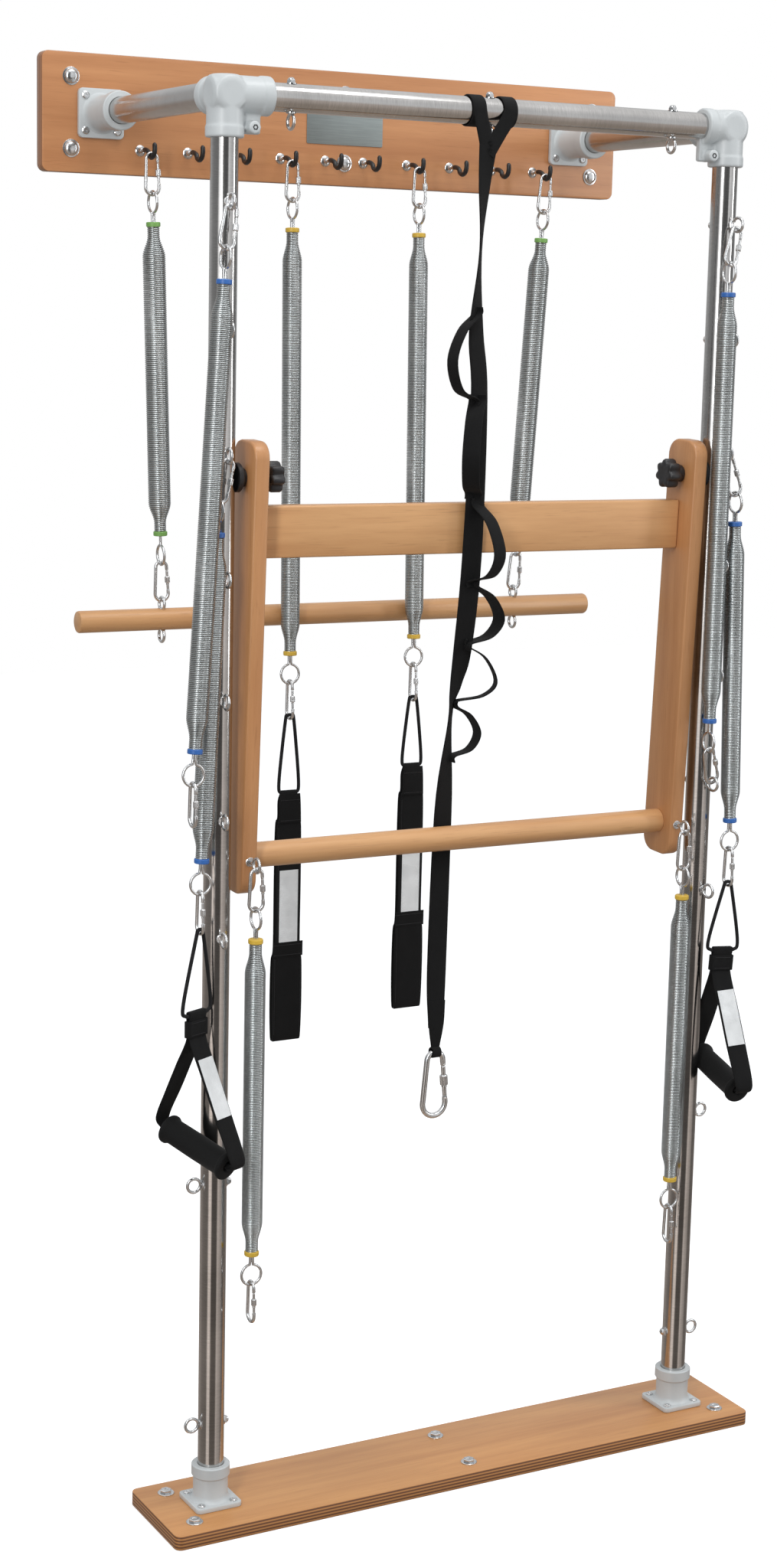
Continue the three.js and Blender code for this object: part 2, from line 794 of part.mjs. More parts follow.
// A chain: carabiner, spring, carabiner. Returns where the lower carabiner's bottom wire is.
function chain(name, hang, knee, far, options) {
  const { length, curls, full, lowerFaceOn, lowerPlumb } = options;
  const upperDirection = knee.clone().sub(hang).normalize();
  const hanging = home(name + "_chain", hang);
  add(name + "_upper_carabiner", smallLink(hang, upperDirection, along.y), zinc, hanging);
  const top = step(hang, upperDirection, linkLength - linkSeat);
  const direction = far.clone().sub(top).normalize();
  const ringNormal = lowerFaceOn ? along.y : along.x;
  const linkNormal = lowerFaceOn ? along.x : along.y;
  add(name, spring(top, direction, length, curls, full, along.x, ringNormal), zinc, hanging);
  const whole = 2 * (springEyeRadius + ringToCollar) + length;
  const lowerTop = step(top, direction, whole - linkSeat);
  let lowerDirection = lowerPlumb ? down.clone() : direction.clone();
  if (options.lowerTo) lowerDirection = options.lowerTo.clone().sub(lowerTop).normalize();
  add(name + "_lower_carabiner", smallLink(lowerTop, lowerDirection, linkNormal), zinc, hanging);
  return { seat: step(lowerTop, lowerDirection, linkLength), top, direction };
}

// Roll-down springs, from the outer hooks to the bar's eyes
const hookSeatZ = bowlZ + hookSeat;
const rollHookX = hookFirst + hookPitch * (hookCount - 1);
const rollSpringTip = rollZ + rollEyeUp + eyeRadius - eyeSeat;
const rollSpan = vec(rollHookX - rollEyeX, rollY - bowlY, hookSeatZ - rollSpringTip).length();
const rollSpringLength = rollSpan - 2 * (springEyeRadius + ringToCollar) - 2 * (linkLength - linkSeat);
for (const hand of ["left", "right"]) {
  const sign = hands[hand];
  const hang = vec(sign * rollHookX, bowlY, hookSeatZ);
  const far = vec(sign * rollEyeX, rollY, rollSpringTip);
  const options = { length: rollSpringLength, curls: shortCurls, full: greenRadius };
  chain("roll_spring_" + hand, hang, far, far, options);
}

// Foot springs and straps, leaning out in front of the roll-down bar
const footX = 122;
const footRestY = 421;
const footShares = { left: 1, right: 0.972 };
const footBottoms = {};
for (const hand of ["left", "right"]) {
  const sign = hands[hand];
  const hang = vec(sign * footX, bowlY, hookSeatZ);
  const far = vec(sign * footX, footRestY, rollZ);
  const length = longSpring * footShares[hand];
  const options = { length, curls: longCurls, full: plainRadius, lowerFaceOn: true };
  footBottoms[hand] = chain("foot_spring_" + hand, hang, far, far, options);
}

// Springs on the uprights: offsets from the upright's axis, drops from the eye they hang on
function uprightChain(name, hand, level, knee, far, options) {
  const eye = step(vec(hands[hand] * uprightX, 0, eyeLevel(level)), eyeDirection(hand), eyeReach);
  const hang = step(eye, down, eyeRadius - eyeSeat);
  const axis = vec(hands[hand] * uprightX, 0, eyeLevel(level));
  const lateral = axis.clone().add(vec(knee[0], knee[1], 0)).sub(hang);
  lateral.z = 0;
  const linkReach = linkLength - linkSeat;
  const fall = Math.sqrt(linkReach * linkReach - lateral.lengthSq());
  const kneePoint = hang.clone().add(lateral).add(vec(0, 0, -fall));
  const farPoint = axis.clone().add(vec(far[0], far[1], -far[2]));
  return chain(name, hang, kneePoint, farPoint, options);
}

const leftLongKnee = [-15.6, -44.2];
const leftLongFar = [-72, -70, 839];
const leftShortKnee = [-19.1, -34.9];
const leftShortFar = [-43.5, -36, 647];
const rightLongKnee = [-16.3, -47.5];
const rightLongFar = [-16.3, -47.5, 863];
const rightShortKnee = [24.8, -35.5];
const rightShortFar = [43, -38, 655];
const leftLongShare = 0.968;
const rightLongShare = 0.981;
const leftShortShare = 0.976;
const rightShortShare = 0.992;
const heldLevel = 5;
const heldEye = step(vec(uprightX, 0, eyeLevel(heldLevel)), eyeDirection("right"), eyeReach);
const plain = { full: plainRadius, lowerPlumb: true };
const longOptions = { ...plain, curls: longCurls };
const shortOptions = { ...plain, curls: shortCurls, lowerFaceOn: true };
uprightChain("arm_spring_long_left", "left", 0, leftLongKnee, leftLongFar, {
  ...longOptions,
  length: longSpring * leftLongShare,
  lowerFaceOn: true,
});
const leftHandle = uprightChain("hand_spring_left", "left", 2, leftShortKnee, leftShortFar, {
  ...shortOptions,
  length: shortSpring * leftShortShare,
});
uprightChain("arm_spring_long_right", "right", 0, rightLongKnee, rightLongFar, {
  ...longOptions,
  length: longSpring * rightLongShare,
  lowerTo: heldEye,
});
const rightHandle = uprightChain("hand_spring_right", "right", 2, rightShortKnee, rightShortFar, {
  ...shortOptions,
  length: shortSpring * rightShortShare,
});

// Springs on the push frame's ends, hanging plumb
const pushShares = { left: 0.998, right: 0.982 };
for (const hand of ["left", "right"]) {
  const eye = pushSpot(hands[hand] * (armInner + armThick / 2), -pushEyeReach, pushBarDown);
  const hang = step(eye, down, eyeRadius - eyeSeat);
  const below = step(hang, down, linkLength);
  const options = { ...shortOptions, length: shortSpring * pushShares[hand] };
  chain("push_spring_" + hand, hang, below, below.clone().add(down), options);
}

// Cords: a loop over a carabiner's bottom wire that opens to a base bar
const cordRadius = 3;
const cordSides = 5;
const cordArch = 8.5;
const cordSlack = 0.35;
const cordSeat = cordRadius + linkWire + linkGap + cordSlack;
const cordShoulder = 12;
const cordCornerShare = 0.16;
const cordCrownShare = 0.33;

// The cord's points lie in a plane across the strap; the corners are [across, drop] from the apex.
function cordLoop(apex, across, leftCorner, rightCorner) {
  const spot = ([a, drop]) => step(step(apex, across, a), down, drop);
  const blend = (p, q, share) => [p[0] + (q[0] - p[0]) * share, p[1] + (q[1] - p[1]) * share];
  const leftShoulder = [-cordArch, cordShoulder];
  const rightShoulder = [cordArch, cordShoulder];
  const outline = [
    [-cordArch / 2, cordRadius * cordCrownShare],
    leftShoulder,
    blend(leftCorner, leftShoulder, cordCornerShare),
    blend(leftCorner, rightCorner, cordCornerShare),
    blend(rightCorner, leftCorner, cordCornerShare),
    blend(rightCorner, rightShoulder, cordCornerShare),
    rightShoulder,
    [cordArch / 2, cordRadius * cordCrownShare],
  ];
  const normal = across.clone().cross(down);
  return wire(outline.map(spot), cordRadius, cordSides, normal, true);
}

// Foot straps: a cord, then a long padded loop of webbing
const webThick = 2.6;
const footBaseHalf = 21;
const footCordDrops = { left: 137, right: 124 };
const footStrapLength = 443;
const footTopHalf = 19;
const footBodyHalf = 24;
const footCuffHalf = 29;
const footSpread = 5;
const footWaistShare = 0.62;
const footCuffShare = 0.7;
const footPinchShare = 0.8;
const footLabelHalf = 18;
const footLabelTop = 127;
const footLabelLength = 140;
const labelThick = 0.8;

for (const hand of ["left", "right"]) {
  const seat = footBottoms[hand].seat;
  const apex = step(seat, along.z, cordSeat);
  const drop = footCordDrops[hand];
  const cord = cordLoop(apex, along.x, [-footBaseHalf, drop], [footBaseHalf, drop]);
  const base = step(apex, down, drop);
  const wrap = cordRadius + webThick / 4;
  const spots = [
    [0, -wrap, footTopHalf * footPinchShare],
    [-wrap, 0, footTopHalf * footPinchShare],
    [-footSpread, footCuffHalf, footTopHalf],
    [-footSpread, footLabelTop / 2, footBodyHalf],
    [-footSpread, footStrapLength * footWaistShare, footBodyHalf],
    [-footSpread, footStrapLength * footCuffShare, footCuffHalf],
    [-footSpread, footStrapLength - wrap, footCuffHalf],
    [0, footStrapLength, footCuffHalf],
    [footSpread, footStrapLength - wrap, footCuffHalf],
    [footSpread, footStrapLength * footCuffShare, footCuffHalf],
    [footSpread, footStrapLength * footWaistShare, footBodyHalf],
    [footSpread, footLabelTop / 2, footBodyHalf],
    [footSpread, footCuffHalf, footTopHalf],
    [wrap, 0, footTopHalf * footPinchShare],
  ];
  const stations = spots.map(([y, fall, half]) => ({
    at: step(step(base, along.y, y), down, fall),
    across: along.x,
    half,
  }));
  const labelFrame = frameAt(
    vec(base.x, base.y - footSpread, base.z - footLabelTop - footLabelLength / 2),
    along.x,
    along.z,
  );
  const labelReach = webThick / 2 + labelThick;
  const labelWidth = 2 * footLabelHalf;
  const label = plate(labelWidth, footLabelLength, plateThick, labelReach, labelFrame, plainCornerSteps);
  const strap = join(cord, band(stations, webThick, true), label);
  add("foot_strap_" + hand, strap, webbing, home("foot_" + hand, apex));
}

// Hand straps: cord, webbing through a foam grip, and a blank label on the near leg
const handYaws = { left: -66 * degree, right: -94 * degree };
const handCorners = {
  left: [
    [-42, 131],
    [29, 131],
  ],
  right: [
    [-38, 117],
    [28, 121],
  ],
};
const gripDrops = { left: 347, right: 338 };
const gripTilts = { left: 16 * degree, right: 13 * degree };
const gripHalf = 65;
const gripRadius = 20;
const gripFlare = 23.5;
const gripFlareRun = 9;
const gripBore = 9;
const gripSides = 10;
const webHalf = 19;
const webInGrip = 8;
const gripMouth = 6;
const webPinch = 2.2;
const webBend = 16;
const webShoulderShare = 0.85;
const stitchRun = 36;
const handleSeats = { left: leftHandle.seat, right: rightHandle.seat };

for (const hand of ["left", "right"]) {
  const yaw = handYaws[hand];
  const near = vec(Math.cos(yaw), Math.sin(yaw), 0);
  const across = vec(-near.y, near.x, 0);
  const apex = step(handleSeats[hand], along.z, cordSeat);
  const [leftCorner, rightCorner] = handCorners[hand];
  const cord = cordLoop(apex, across, leftCorner, rightCorner);
  const spot = ([a, drop]) => step(step(apex, across, a), down, drop);
  const baseAxis = spot(rightCorner).sub(spot(leftCorner)).normalize();
  const base = spot(leftCorner).lerp(spot(rightCorner), 1 / 2);
  const gripCentre = step(apex, down, gripDrops[hand]);
  const tilt = gripTilts[hand];
  const gripAxis = near.clone().multiplyScalar(Math.cos(tilt)).addScaledVector(along.z, -Math.sin(tilt));
  const nearEnd = step(gripCentre, gripAxis, gripHalf);
  const farEnd = step(gripCentre, gripAxis, -gripHalf);
  const gripProfile = [
    [gripBore, 0],
    [gripFlare, 0],
    [gripRadius, gripFlareRun],
    [gripRadius, 2 * gripHalf - gripFlareRun],
    [gripFlare, 2 * gripHalf],
    [gripBore, 2 * gripHalf],
    [gripBore, 0],
  ];
  const handle = home("handle_" + hand, gripCentre);
  const strapTop = home("hand_strap_top_" + hand, apex);
  add("hand_grip_" + hand, turned(gripProfile, gripSides, farEnd, nearEnd), foam, handle);
  const wrap = cordRadius + webThick / 4;
  const fallDirection = near.clone().cross(baseAxis).normalize();
  if (fallDirection.z > 0) fallDirection.negate();
  const stitched = step(base, fallDirection, stitchRun);
  const gripDown = squareTo(gripAxis, down);
  const gripAcross = gripAxis.clone().cross(gripDown).normalize();
  if (gripAcross.dot(baseAxis) < 0) gripAcross.negate();
  const leg = (sign, end) => {
    const outside = step(end, gripAxis, sign * webBend);
    const shoulder = step(outside, gripDown, -webBend);
    return [
      { at: step(base, near, sign * wrap), across: baseAxis, half: webHalf },
      { at: step(stitched, near, sign * webPinch), across: baseAxis, half: webHalf },
      {
        at: step(stitched, near, sign * webPinch).lerp(shoulder, 1 / 2),
        across: baseAxis.clone().add(gripAcross).normalize(),
        half: webHalf,
      },
      { at: shoulder, across: gripAcross, half: webHalf * webShoulderShare },
      { at: step(end, gripAxis, sign * gripMouth), across: gripAcross, half: webInGrip },
    ];
  };
  const nearLeg = leg(1, nearEnd);
  const farLeg = leg(-1, farEnd);
  const top = { at: step(base, fallDirection, -wrap), across: baseAxis, half: webHalf };
  const loop = [top, ...nearLeg, ...farLeg.reverse()];
  add("hand_strap_" + hand, join(cord, band(loop, webThick, true)), webbing, strapTop);
}

// Loop strap: two wraps round the crossbar, a main band in front of the rail and behind the bar, and sewn loops
const strapHalf = 18;
const strapEndHalf = 14.4;
const strapThick = 2.4;
const wrapSlack = 0.95;
const wrapInner = tubeRadius + wrapSlack;
const wrapHalf = 12;
const wrapXs = [-30, 26];
const wrapLegDrops = [27, 60];
const front = wrapInner + strapThick / 2;
const strapPath = [
  { x: -13.7, y: -front, z: 2154.6, yaw: 0, half: 16 },
  { x: -18, y: -22, z: 2090, yaw: 25, half: 15 },
  { x: -20.3, y: -20, z: 1993.6, yaw: 55, half: 14 },
  { x: -22.9, y: -17.3, z: 1869.5, yaw: 22, half: strapHalf },
  { x: -12.6, y: -15, z: 1765.3, yaw: 14, half: strapHalf },
  { x: -14, y: -8, z: 1515, yaw: 0, half: strapHalf },
  { x: -11.6, y: 18, z: 1363, yaw: 6, half: strapHalf },
  { x: -12.8, y: 34, z: 1303, yaw: 30, half: strapHalf },
  { x: -15.2, y: 46, z: 1245.7, yaw: 52, half: strapHalf },
  { x: -21, y: 51, z: 1090, yaw: 8, half: strapHalf },
  { x: -25.5, y: 51, z: 832, yaw: 0, half: strapHalf },
  { x: -24, y: 51, z: 730, yaw: 0, half: strapEndHalf },
];

function strapStation({ x, y, z, yaw, half }) {
  return { at: vec(x, y, z), across: vec(Math.cos(yaw * degree), Math.sin(yaw * degree), 0), half };
}

const mainBand = band(strapPath.map(strapStation), strapThick, false);
const wraps = wrapXs.map((x) =>
  pipe(
    wrapInner + strapThick,
    wrapInner,
    tubeSides,
    vec(x - wrapHalf, 0, crossbarZ),
    vec(x + wrapHalf, 0, crossbarZ),
  ),
);
const wrapLegs = wrapXs.map((x) => {
  const joinX = strapPath[0].x;
  const [bendZ, joinZ] = wrapLegDrops.map((drop) => crossbarZ - drop);
  const stations = [
    { at: vec(x, -front, crossbarZ), across: along.x, half: wrapHalf },
    { at: vec((x + joinX) / 2, -front, bendZ), across: along.x, half: wrapHalf },
    { at: vec(joinX, -front, joinZ), across: along.x, half: wrapHalf },
  ];
  return band(stations, strapThick, false);
});

const loopUpper = { outShare: 0.6, dropShare: 0.35 };
const loopLower = { outShare: 0.7, riseShare: 0.25 };

// A sewn loop: bulges from the main band along a level direction, its webbing standing square to it.
function sewnLoop({ x, yTop, yBottom, top, bottom, bulge, yaw, sag, half }) {
  const middle = (top + bottom) / 2 - sag;
  const outline = [
    [0, top],
    [bulge * loopUpper.outShare, top - (top - middle) * loopUpper.dropShare],
    [bulge, middle],
    [bulge * loopLower.outShare, bottom + (middle - bottom) * loopLower.riseShare],
    [0, bottom],
  ];
  const away = vec(Math.cos(yaw * degree), Math.sin(yaw * degree), 0);
  const across = vec(-away.y, away.x, 0);
  const stations = outline.map(([out, z]) => {
    const y = THREE.MathUtils.mapLinear(z, top, bottom, yTop, yBottom);
    return { at: step(vec(x, y, z), away, out), across, half };
  });
  return band(stations, strapThick, false);
}

const loopHalf = 11;
const loopTightHalf = 8.8;
const loopWideHalf = 14;
const loops = [
  { x: -24, yTop: -19.5, yBottom: -17, top: 1895, bottom: 1765, bulge: 54, yaw: 200, sag: 5, half: loopHalf },
  { x: -18, yTop: -18, yBottom: -14, top: 1760, bottom: 1618, bulge: 46, yaw: 232, sag: 12, half: loopWideHalf },
  { x: -8, yTop: -13, yBottom: -6, top: 1598, bottom: 1478, bulge: 52, yaw: -72, sag: 14, half: loopWideHalf },
  { x: -6, yTop: 0, yBottom: 16, top: 1470, bottom: 1375, bulge: 66, yaw: 12, sag: 10, half: loopWideHalf },
  { x: -6, yTop: 18, yBottom: 43, top: 1372, bottom: 1278, bulge: 62, yaw: -12, sag: 16, half: loopTightHalf },
  { x: -6, yTop: 48, yBottom: 52, top: 1268, bottom: 1186, bulge: 50, yaw: 8, sag: 6, half: loopHalf },
].map(sewnLoop);

const strapLinkX = -24;
const strapLinkY = 51;
const strapLinkZ = 687;
const foldSlack = 2.55;
const foldInner = bigLinkWire + foldSlack;
const foldHalf = 8;
const foldTailRise = 48;
const foldTube = pipe(
  foldInner + strapThick,
  foldInner,
  gripSides,
  vec(strapLinkX - foldHalf, strapLinkY, strapLinkZ),
  vec(strapLinkX + foldHalf, strapLinkY, strapLinkZ),
);
const foldTailSpots = [
  [foldTailRise, strapEndHalf],
  [foldInner + strapThick / 2, foldHalf],
];
const foldTailStations = foldTailSpots.map(([rise, half]) => ({
  at: vec(strapLinkX, strapLinkY, strapLinkZ + rise),
  across: along.x,
  half,
}));
const foldTail = band(foldTailStations, strapThick, false);
const strapHome = home("strap", vec(0, 0, crossbarZ));
add("loop_strap", join(mainBand, wraps, wrapLegs, loops, foldTube, foldTail), webbing, strapHome);
const bigLink = carabiner(
  vec(strapLinkX, strapLinkY, strapLinkZ),
  down,
  along.y,
  bigLinkLength,
  bigLinkTop,
  bigLinkBottom,
  bigLinkWire,
  bigLinkSleeve,
);
add("strap_carabiner", bigLink, zinc, strapHome);

tower.position.set(0, -wallY - boardThick, -crossbarZ);
console.log("springs: " + curlsUsed + " curls, least gap of a coil to itself in mm: " + leastCoilGap.toFixed(2));

export default tower;
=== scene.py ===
import math

import bpy
import bmesh
from mathutils import Matrix, Vector


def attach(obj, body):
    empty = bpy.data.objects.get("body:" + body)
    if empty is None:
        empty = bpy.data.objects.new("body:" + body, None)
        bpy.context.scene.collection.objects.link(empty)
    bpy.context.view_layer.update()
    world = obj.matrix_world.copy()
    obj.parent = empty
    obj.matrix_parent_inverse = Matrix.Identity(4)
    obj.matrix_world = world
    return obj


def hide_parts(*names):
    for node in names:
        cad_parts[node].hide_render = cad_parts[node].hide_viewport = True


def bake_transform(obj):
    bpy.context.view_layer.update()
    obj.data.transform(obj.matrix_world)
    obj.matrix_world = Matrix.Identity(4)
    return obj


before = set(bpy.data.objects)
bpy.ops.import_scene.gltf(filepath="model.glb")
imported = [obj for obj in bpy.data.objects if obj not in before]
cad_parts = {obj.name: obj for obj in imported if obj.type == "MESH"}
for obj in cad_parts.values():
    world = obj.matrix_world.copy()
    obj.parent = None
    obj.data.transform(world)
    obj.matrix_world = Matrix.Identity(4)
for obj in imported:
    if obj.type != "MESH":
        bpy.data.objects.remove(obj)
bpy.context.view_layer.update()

turn = 2 * math.pi
metre = 1000
wall_plane = 510
crossbar_z = 2205
across = Vector((1, 0, 0))
back = Vector((0, 1, 0))
up = Vector((0, 0, 1))
down = -up
front = -back
hands = {"left": -1, "right": 1}
to_row = Matrix.Translation((0, -wall_plane / metre, -crossbar_z / metre)) @ Matrix.Scale(1 / metre, 4)
origin = Vector((0, 0, 0))
point_radius = 0.01


def spot(x, y, z):
    return Vector((x, y, z))


def square_to(axis, direction):
    """The part of a direction that is square to an axis, at unit length."""
    return (direction - axis * direction.dot(axis)).normalized()


def circle(centre, a, b, radius, sides, lobes=None):
    """Points round a centre, from direction a towards b; lobes gives the share of the radius at an angle."""
    angles = [turn * k / sides for k in range(sides)]
    reach = [radius * (lobes(t) if lobes else 1) for t in angles]
    return [centre + a * r * math.cos(t) + b * r * math.sin(t) for r, t in zip(reach, angles)]


def lathe_rings(profile, start, axis, side, sides, lobes=None):
    """A ring of points round an axis for each [radius, distance] of the profile."""
    other = axis.cross(side)
    return [circle(start + axis * d, side, other, max(r, point_radius), sides, lobes) for r, d in profile]


def heading(points, i, closed):
    """The direction of a line of points at one of them."""
    before = points[i - 1] if closed or i else points[i]
    after = points[(i + 1) % len(points)] if closed or i + 1 < len(points) else points[i]
    return (after - before).normalized()


def shown(name, data):
    """A new object in the scene."""
    made = bpy.data.objects.new(name, data)
    bpy.context.scene.collection.objects.link(made)
    return made


# Camera
eye_place = spot(-2072.03, -3520.05, 1874.89)
eye_turn = (-0.1752, -0.0219, -0.4951)
focal_pixels = 3342.49
picture = (1015, 2048)
picture_centre = (505.97, 1017.45)
sensor = 36


def make_camera():
    turned = (
        Matrix.Rotation(eye_turn[2], 3, "Z")
        @ Matrix.Rotation(eye_turn[1], 3, "Y")
        @ Matrix.Rotation(eye_turn[0], 3, "X")
    )
    camera = bpy.data.cameras.new("photo_camera")
    camera.sensor_width = sensor
    camera.lens = focal_pixels * sensor / picture[1]
    camera.shift_x = (picture[0] / 2 - picture_centre[0]) / picture[1]
    camera.shift_y = (picture_centre[1] - picture[1] / 2) / picture[1]
    camera.clip_end = 50
    holder = shown("photo_camera", camera)
    columns = Matrix((turned.col[0], turned.col[2], -turned.col[1])).transposed()
    holder.matrix_world = Matrix.Translation(to_row @ eye_place) @ columns.to_4x4()
    bpy.context.scene.camera = holder


make_camera()


# Finishes
def feed(tree, value, socket):
    """A socket takes a plain value, a node's first output, or another output."""
    if isinstance(value, bpy.types.Node):
        value = value.outputs[0]
    if isinstance(value, bpy.types.NodeSocket):
        tree.links.new(value, socket)
    else:
        socket.default_value = value


def place(tree, kind, sockets=None, **settings):
    """Adds a node with its settings, and feeds its sockets."""
    made = tree.nodes.new(kind)
    for key, value in settings.items():
        setattr(made, key, value)
    for key, value in (sockets or {}).items():
        feed(tree, value, made.inputs[key])
    return made


def shade(rgb, share=1.0):
    return (rgb[0] * share, rgb[1] * share, rgb[2] * share, 1)


def tinted(rgb, tint):
    return (rgb[0] * tint[0], rgb[1] * tint[1], rgb[2] * tint[2], 1)


def grey(level):
    return (level, level, level, 1)


def finish(name, colour, roughness, metallic=0.0, coat=0.0, sheen=0.0, shine=0.5):
    """A material with its shader; returns the tree and the shader for more nodes."""
    material = bpy.data.materials.new(name)
    material.use_nodes = True
    tree = material.node_tree
    shader = tree.nodes["Principled BSDF"]
    shader.inputs["Base Color"].default_value = shade(colour)
    shader.inputs["Roughness"].default_value = roughness
    shader.inputs["Metallic"].default_value = metallic
    shader.inputs["Coat Weight"].default_value = coat
    shader.inputs["Coat Roughness"].default_value = 0.25
    shader.inputs["Sheen Weight"].default_value = sheen
    shader.inputs["Specular IOR Level"].default_value = shine
    material.diffuse_color = shade(colour)
    return material, tree, shader


def speckle(tree, stretch, detail, roughness, scale=1.0):
    """Noise on the piece's own coordinates, stretched along x, y and z."""
    coords = place(tree, "ShaderNodeTexCoord")
    mapped = place(tree, "ShaderNodeMapping", {"Vector": coords.outputs["Object"], "Scale": stretch})
    sockets = {"Vector": mapped, "Scale": scale, "Detail": detail, "Roughness": roughness}
    return place(tree, "ShaderNodeTexNoise", sockets)


def ramp(tree, factor, stops):
    """A colour ramp from [place, colour] stops."""
    node = place(tree, "ShaderNodeValToRGB", {"Fac": factor})
    band = node.color_ramp
    while len(band.elements) < len(stops):
        band.elements.new(0.5)
    for element, (where, colour) in zip(band.elements, stops):
        element.position = where
        element.color = colour
    return node


def mix_colour(tree, kind, factor, first, second):
    node = place(tree, "ShaderNodeMix", data_type="RGBA", blend_type=kind)
    for index, value in ((0, factor), (6, first), (7, second)):
        feed(tree, value, node.inputs[index])
    return node.outputs[2]


def calc(tree, operation, first, second=0.0, third=0.0):
    return place(tree, "ShaderNodeMath", {0: first, 1: second, 2: third}, operation=operation)


def bump(tree, shader, height, strength, distance):
    sockets = {"Height": height, "Strength": strength, "Distance": distance}
    node = place(tree, "ShaderNodeBump", sockets)
    feed(tree, node, shader.inputs["Normal"])


no_light = grey(0)
full_light = grey(1)
wood_light = (0.77, 0.39, 0.168)
wood_dark = (0.60, 0.272, 0.106)
wood_fleck = (0.385, 0.158, 0.056)
ply_dark = (0.15, 0.058, 0.024)
ply_skin = 0.0006
ply_count = 9
figure_long, figure_cross = 1.6, 26.0
fleck_long, fleck_cross = 18.0, 420.0


def wood(name, grain, tint, ply=None):
    """Lacquered beech with its grain along one axis; ply gives the board's thickness axis and its middle."""
    material, tree, shader = finish(name, wood_light, 0.42, coat=0.25)
    dark, light = tinted(wood_dark, tint), tinted(wood_light, tint)
    broad = [figure_long if axis == grain else figure_cross for axis in "xyz"]
    figure = speckle(tree, broad, 5, 0.62, 1.1)
    tone = ramp(tree, figure, [[0.32, dark], [0.68, light]])
    fine = [fleck_long if axis == grain else fleck_cross for axis in "xyz"]
    flecks = speckle(tree, fine, 2, 0.5)
    marks = ramp(tree, flecks, [[0.60, no_light], [0.72, full_light]])
    fleck_share = calc(tree, "MULTIPLY", marks, 0.28)
    body = mix_colour(tree, "MIX", fleck_share, tone, tinted(wood_fleck, tint))
    patches = speckle(tree, (2.2, 2.2, 2.2), 2, 0.5)
    dull, warm = grey(0.88), (1.06, 1.05, 1.04, 1)
    patch_tone = ramp(tree, patches, [[0.3, dull], [0.7, warm]])
    body = mix_colour(tree, "MULTIPLY", 1.0, body, patch_tone)
    if ply:
        axis, middle, thick = ply
        coords = place(tree, "ShaderNodeTexCoord")
        parts = place(tree, "ShaderNodeSeparateXYZ", {0: coords.outputs["Object"]})
        layer = calc(tree, "SUBTRACT", parts.outputs[axis], middle)
        wave = calc(tree, "SINE", calc(tree, "MULTIPLY", layer, ply_count * turn / 2 / thick))
        wave = calc(tree, "MULTIPLY_ADD", wave, 0.5, 0.5)
        stripes = ramp(tree, wave, [[0.35, no_light], [0.65, full_light]])
        edge = calc(tree, "LESS_THAN", calc(tree, "ABSOLUTE", layer), thick / 2 - ply_skin)
        layers = mix_colour(tree, "MIX", stripes, shade(ply_dark), dark)
        body = mix_colour(tree, "MIX", edge, body, layers)
    feed(tree, body, shader.inputs["Base Color"])
    gloss = calc(tree, "MULTIPLY_ADD", patches, 0.16, 0.34)
    feed(tree, gloss, shader.inputs["Roughness"])
    bump(tree, shader, flecks, 0.12, 0.0004)
    return material


def metal(name, colour, roughness, streak, strength=0.12, contrast=0.14):
    """Metal with fine marks stretched by the given scale."""
    material, tree, shader = finish(name, colour, roughness, metallic=1.0)
    marks = speckle(tree, streak, 3, 0.6)
    low, high = 1 - contrast, 1 + contrast / 2
    tone = ramp(tree, marks, [[0.3, shade(colour, low)], [0.7, shade(colour, high)]])
    smudges = speckle(tree, (9, 9, 9), 3, 0.6)
    wear = ramp(tree, smudges, [[0.35, grey(0.86)], [0.65, full_light]])
    body = mix_colour(tree, "MULTIPLY", 1.0, tone, wear)
    feed(tree, body, shader.inputs["Base Color"])
    gloss = calc(tree, "MULTIPLY_ADD", smudges, 0.16, roughness - 0.08)
    feed(tree, gloss, shader.inputs["Roughness"])
    bump(tree, shader, marks, strength, 0.0002)
    return material


def moulded(name, colour, roughness, scale, strength, depth, coat=0.0, sheen=0.0, spread=0.12, shine=0.5):
    """Paint, plastic or foam: an even colour with a fine pebbled skin."""
    material, tree, shader = finish(name, colour, roughness, coat=coat, sheen=sheen, shine=shine)
    skin = speckle(tree, (scale, scale, scale), 3, 0.55)
    cloud = speckle(tree, (14, 14, 14), 3, 0.6)
    low, high = shade(colour, 1 - spread), shade(colour, 1 + spread / 2)
    tone = ramp(tree, cloud, [[0.3, low], [0.7, high]])
    feed(tree, tone, shader.inputs["Base Color"])
    gloss = calc(tree, "MULTIPLY_ADD", cloud, 0.14, roughness - 0.07)
    feed(tree, gloss, shader.inputs["Roughness"])
    bump(tree, shader, skin, strength, depth)
    return material


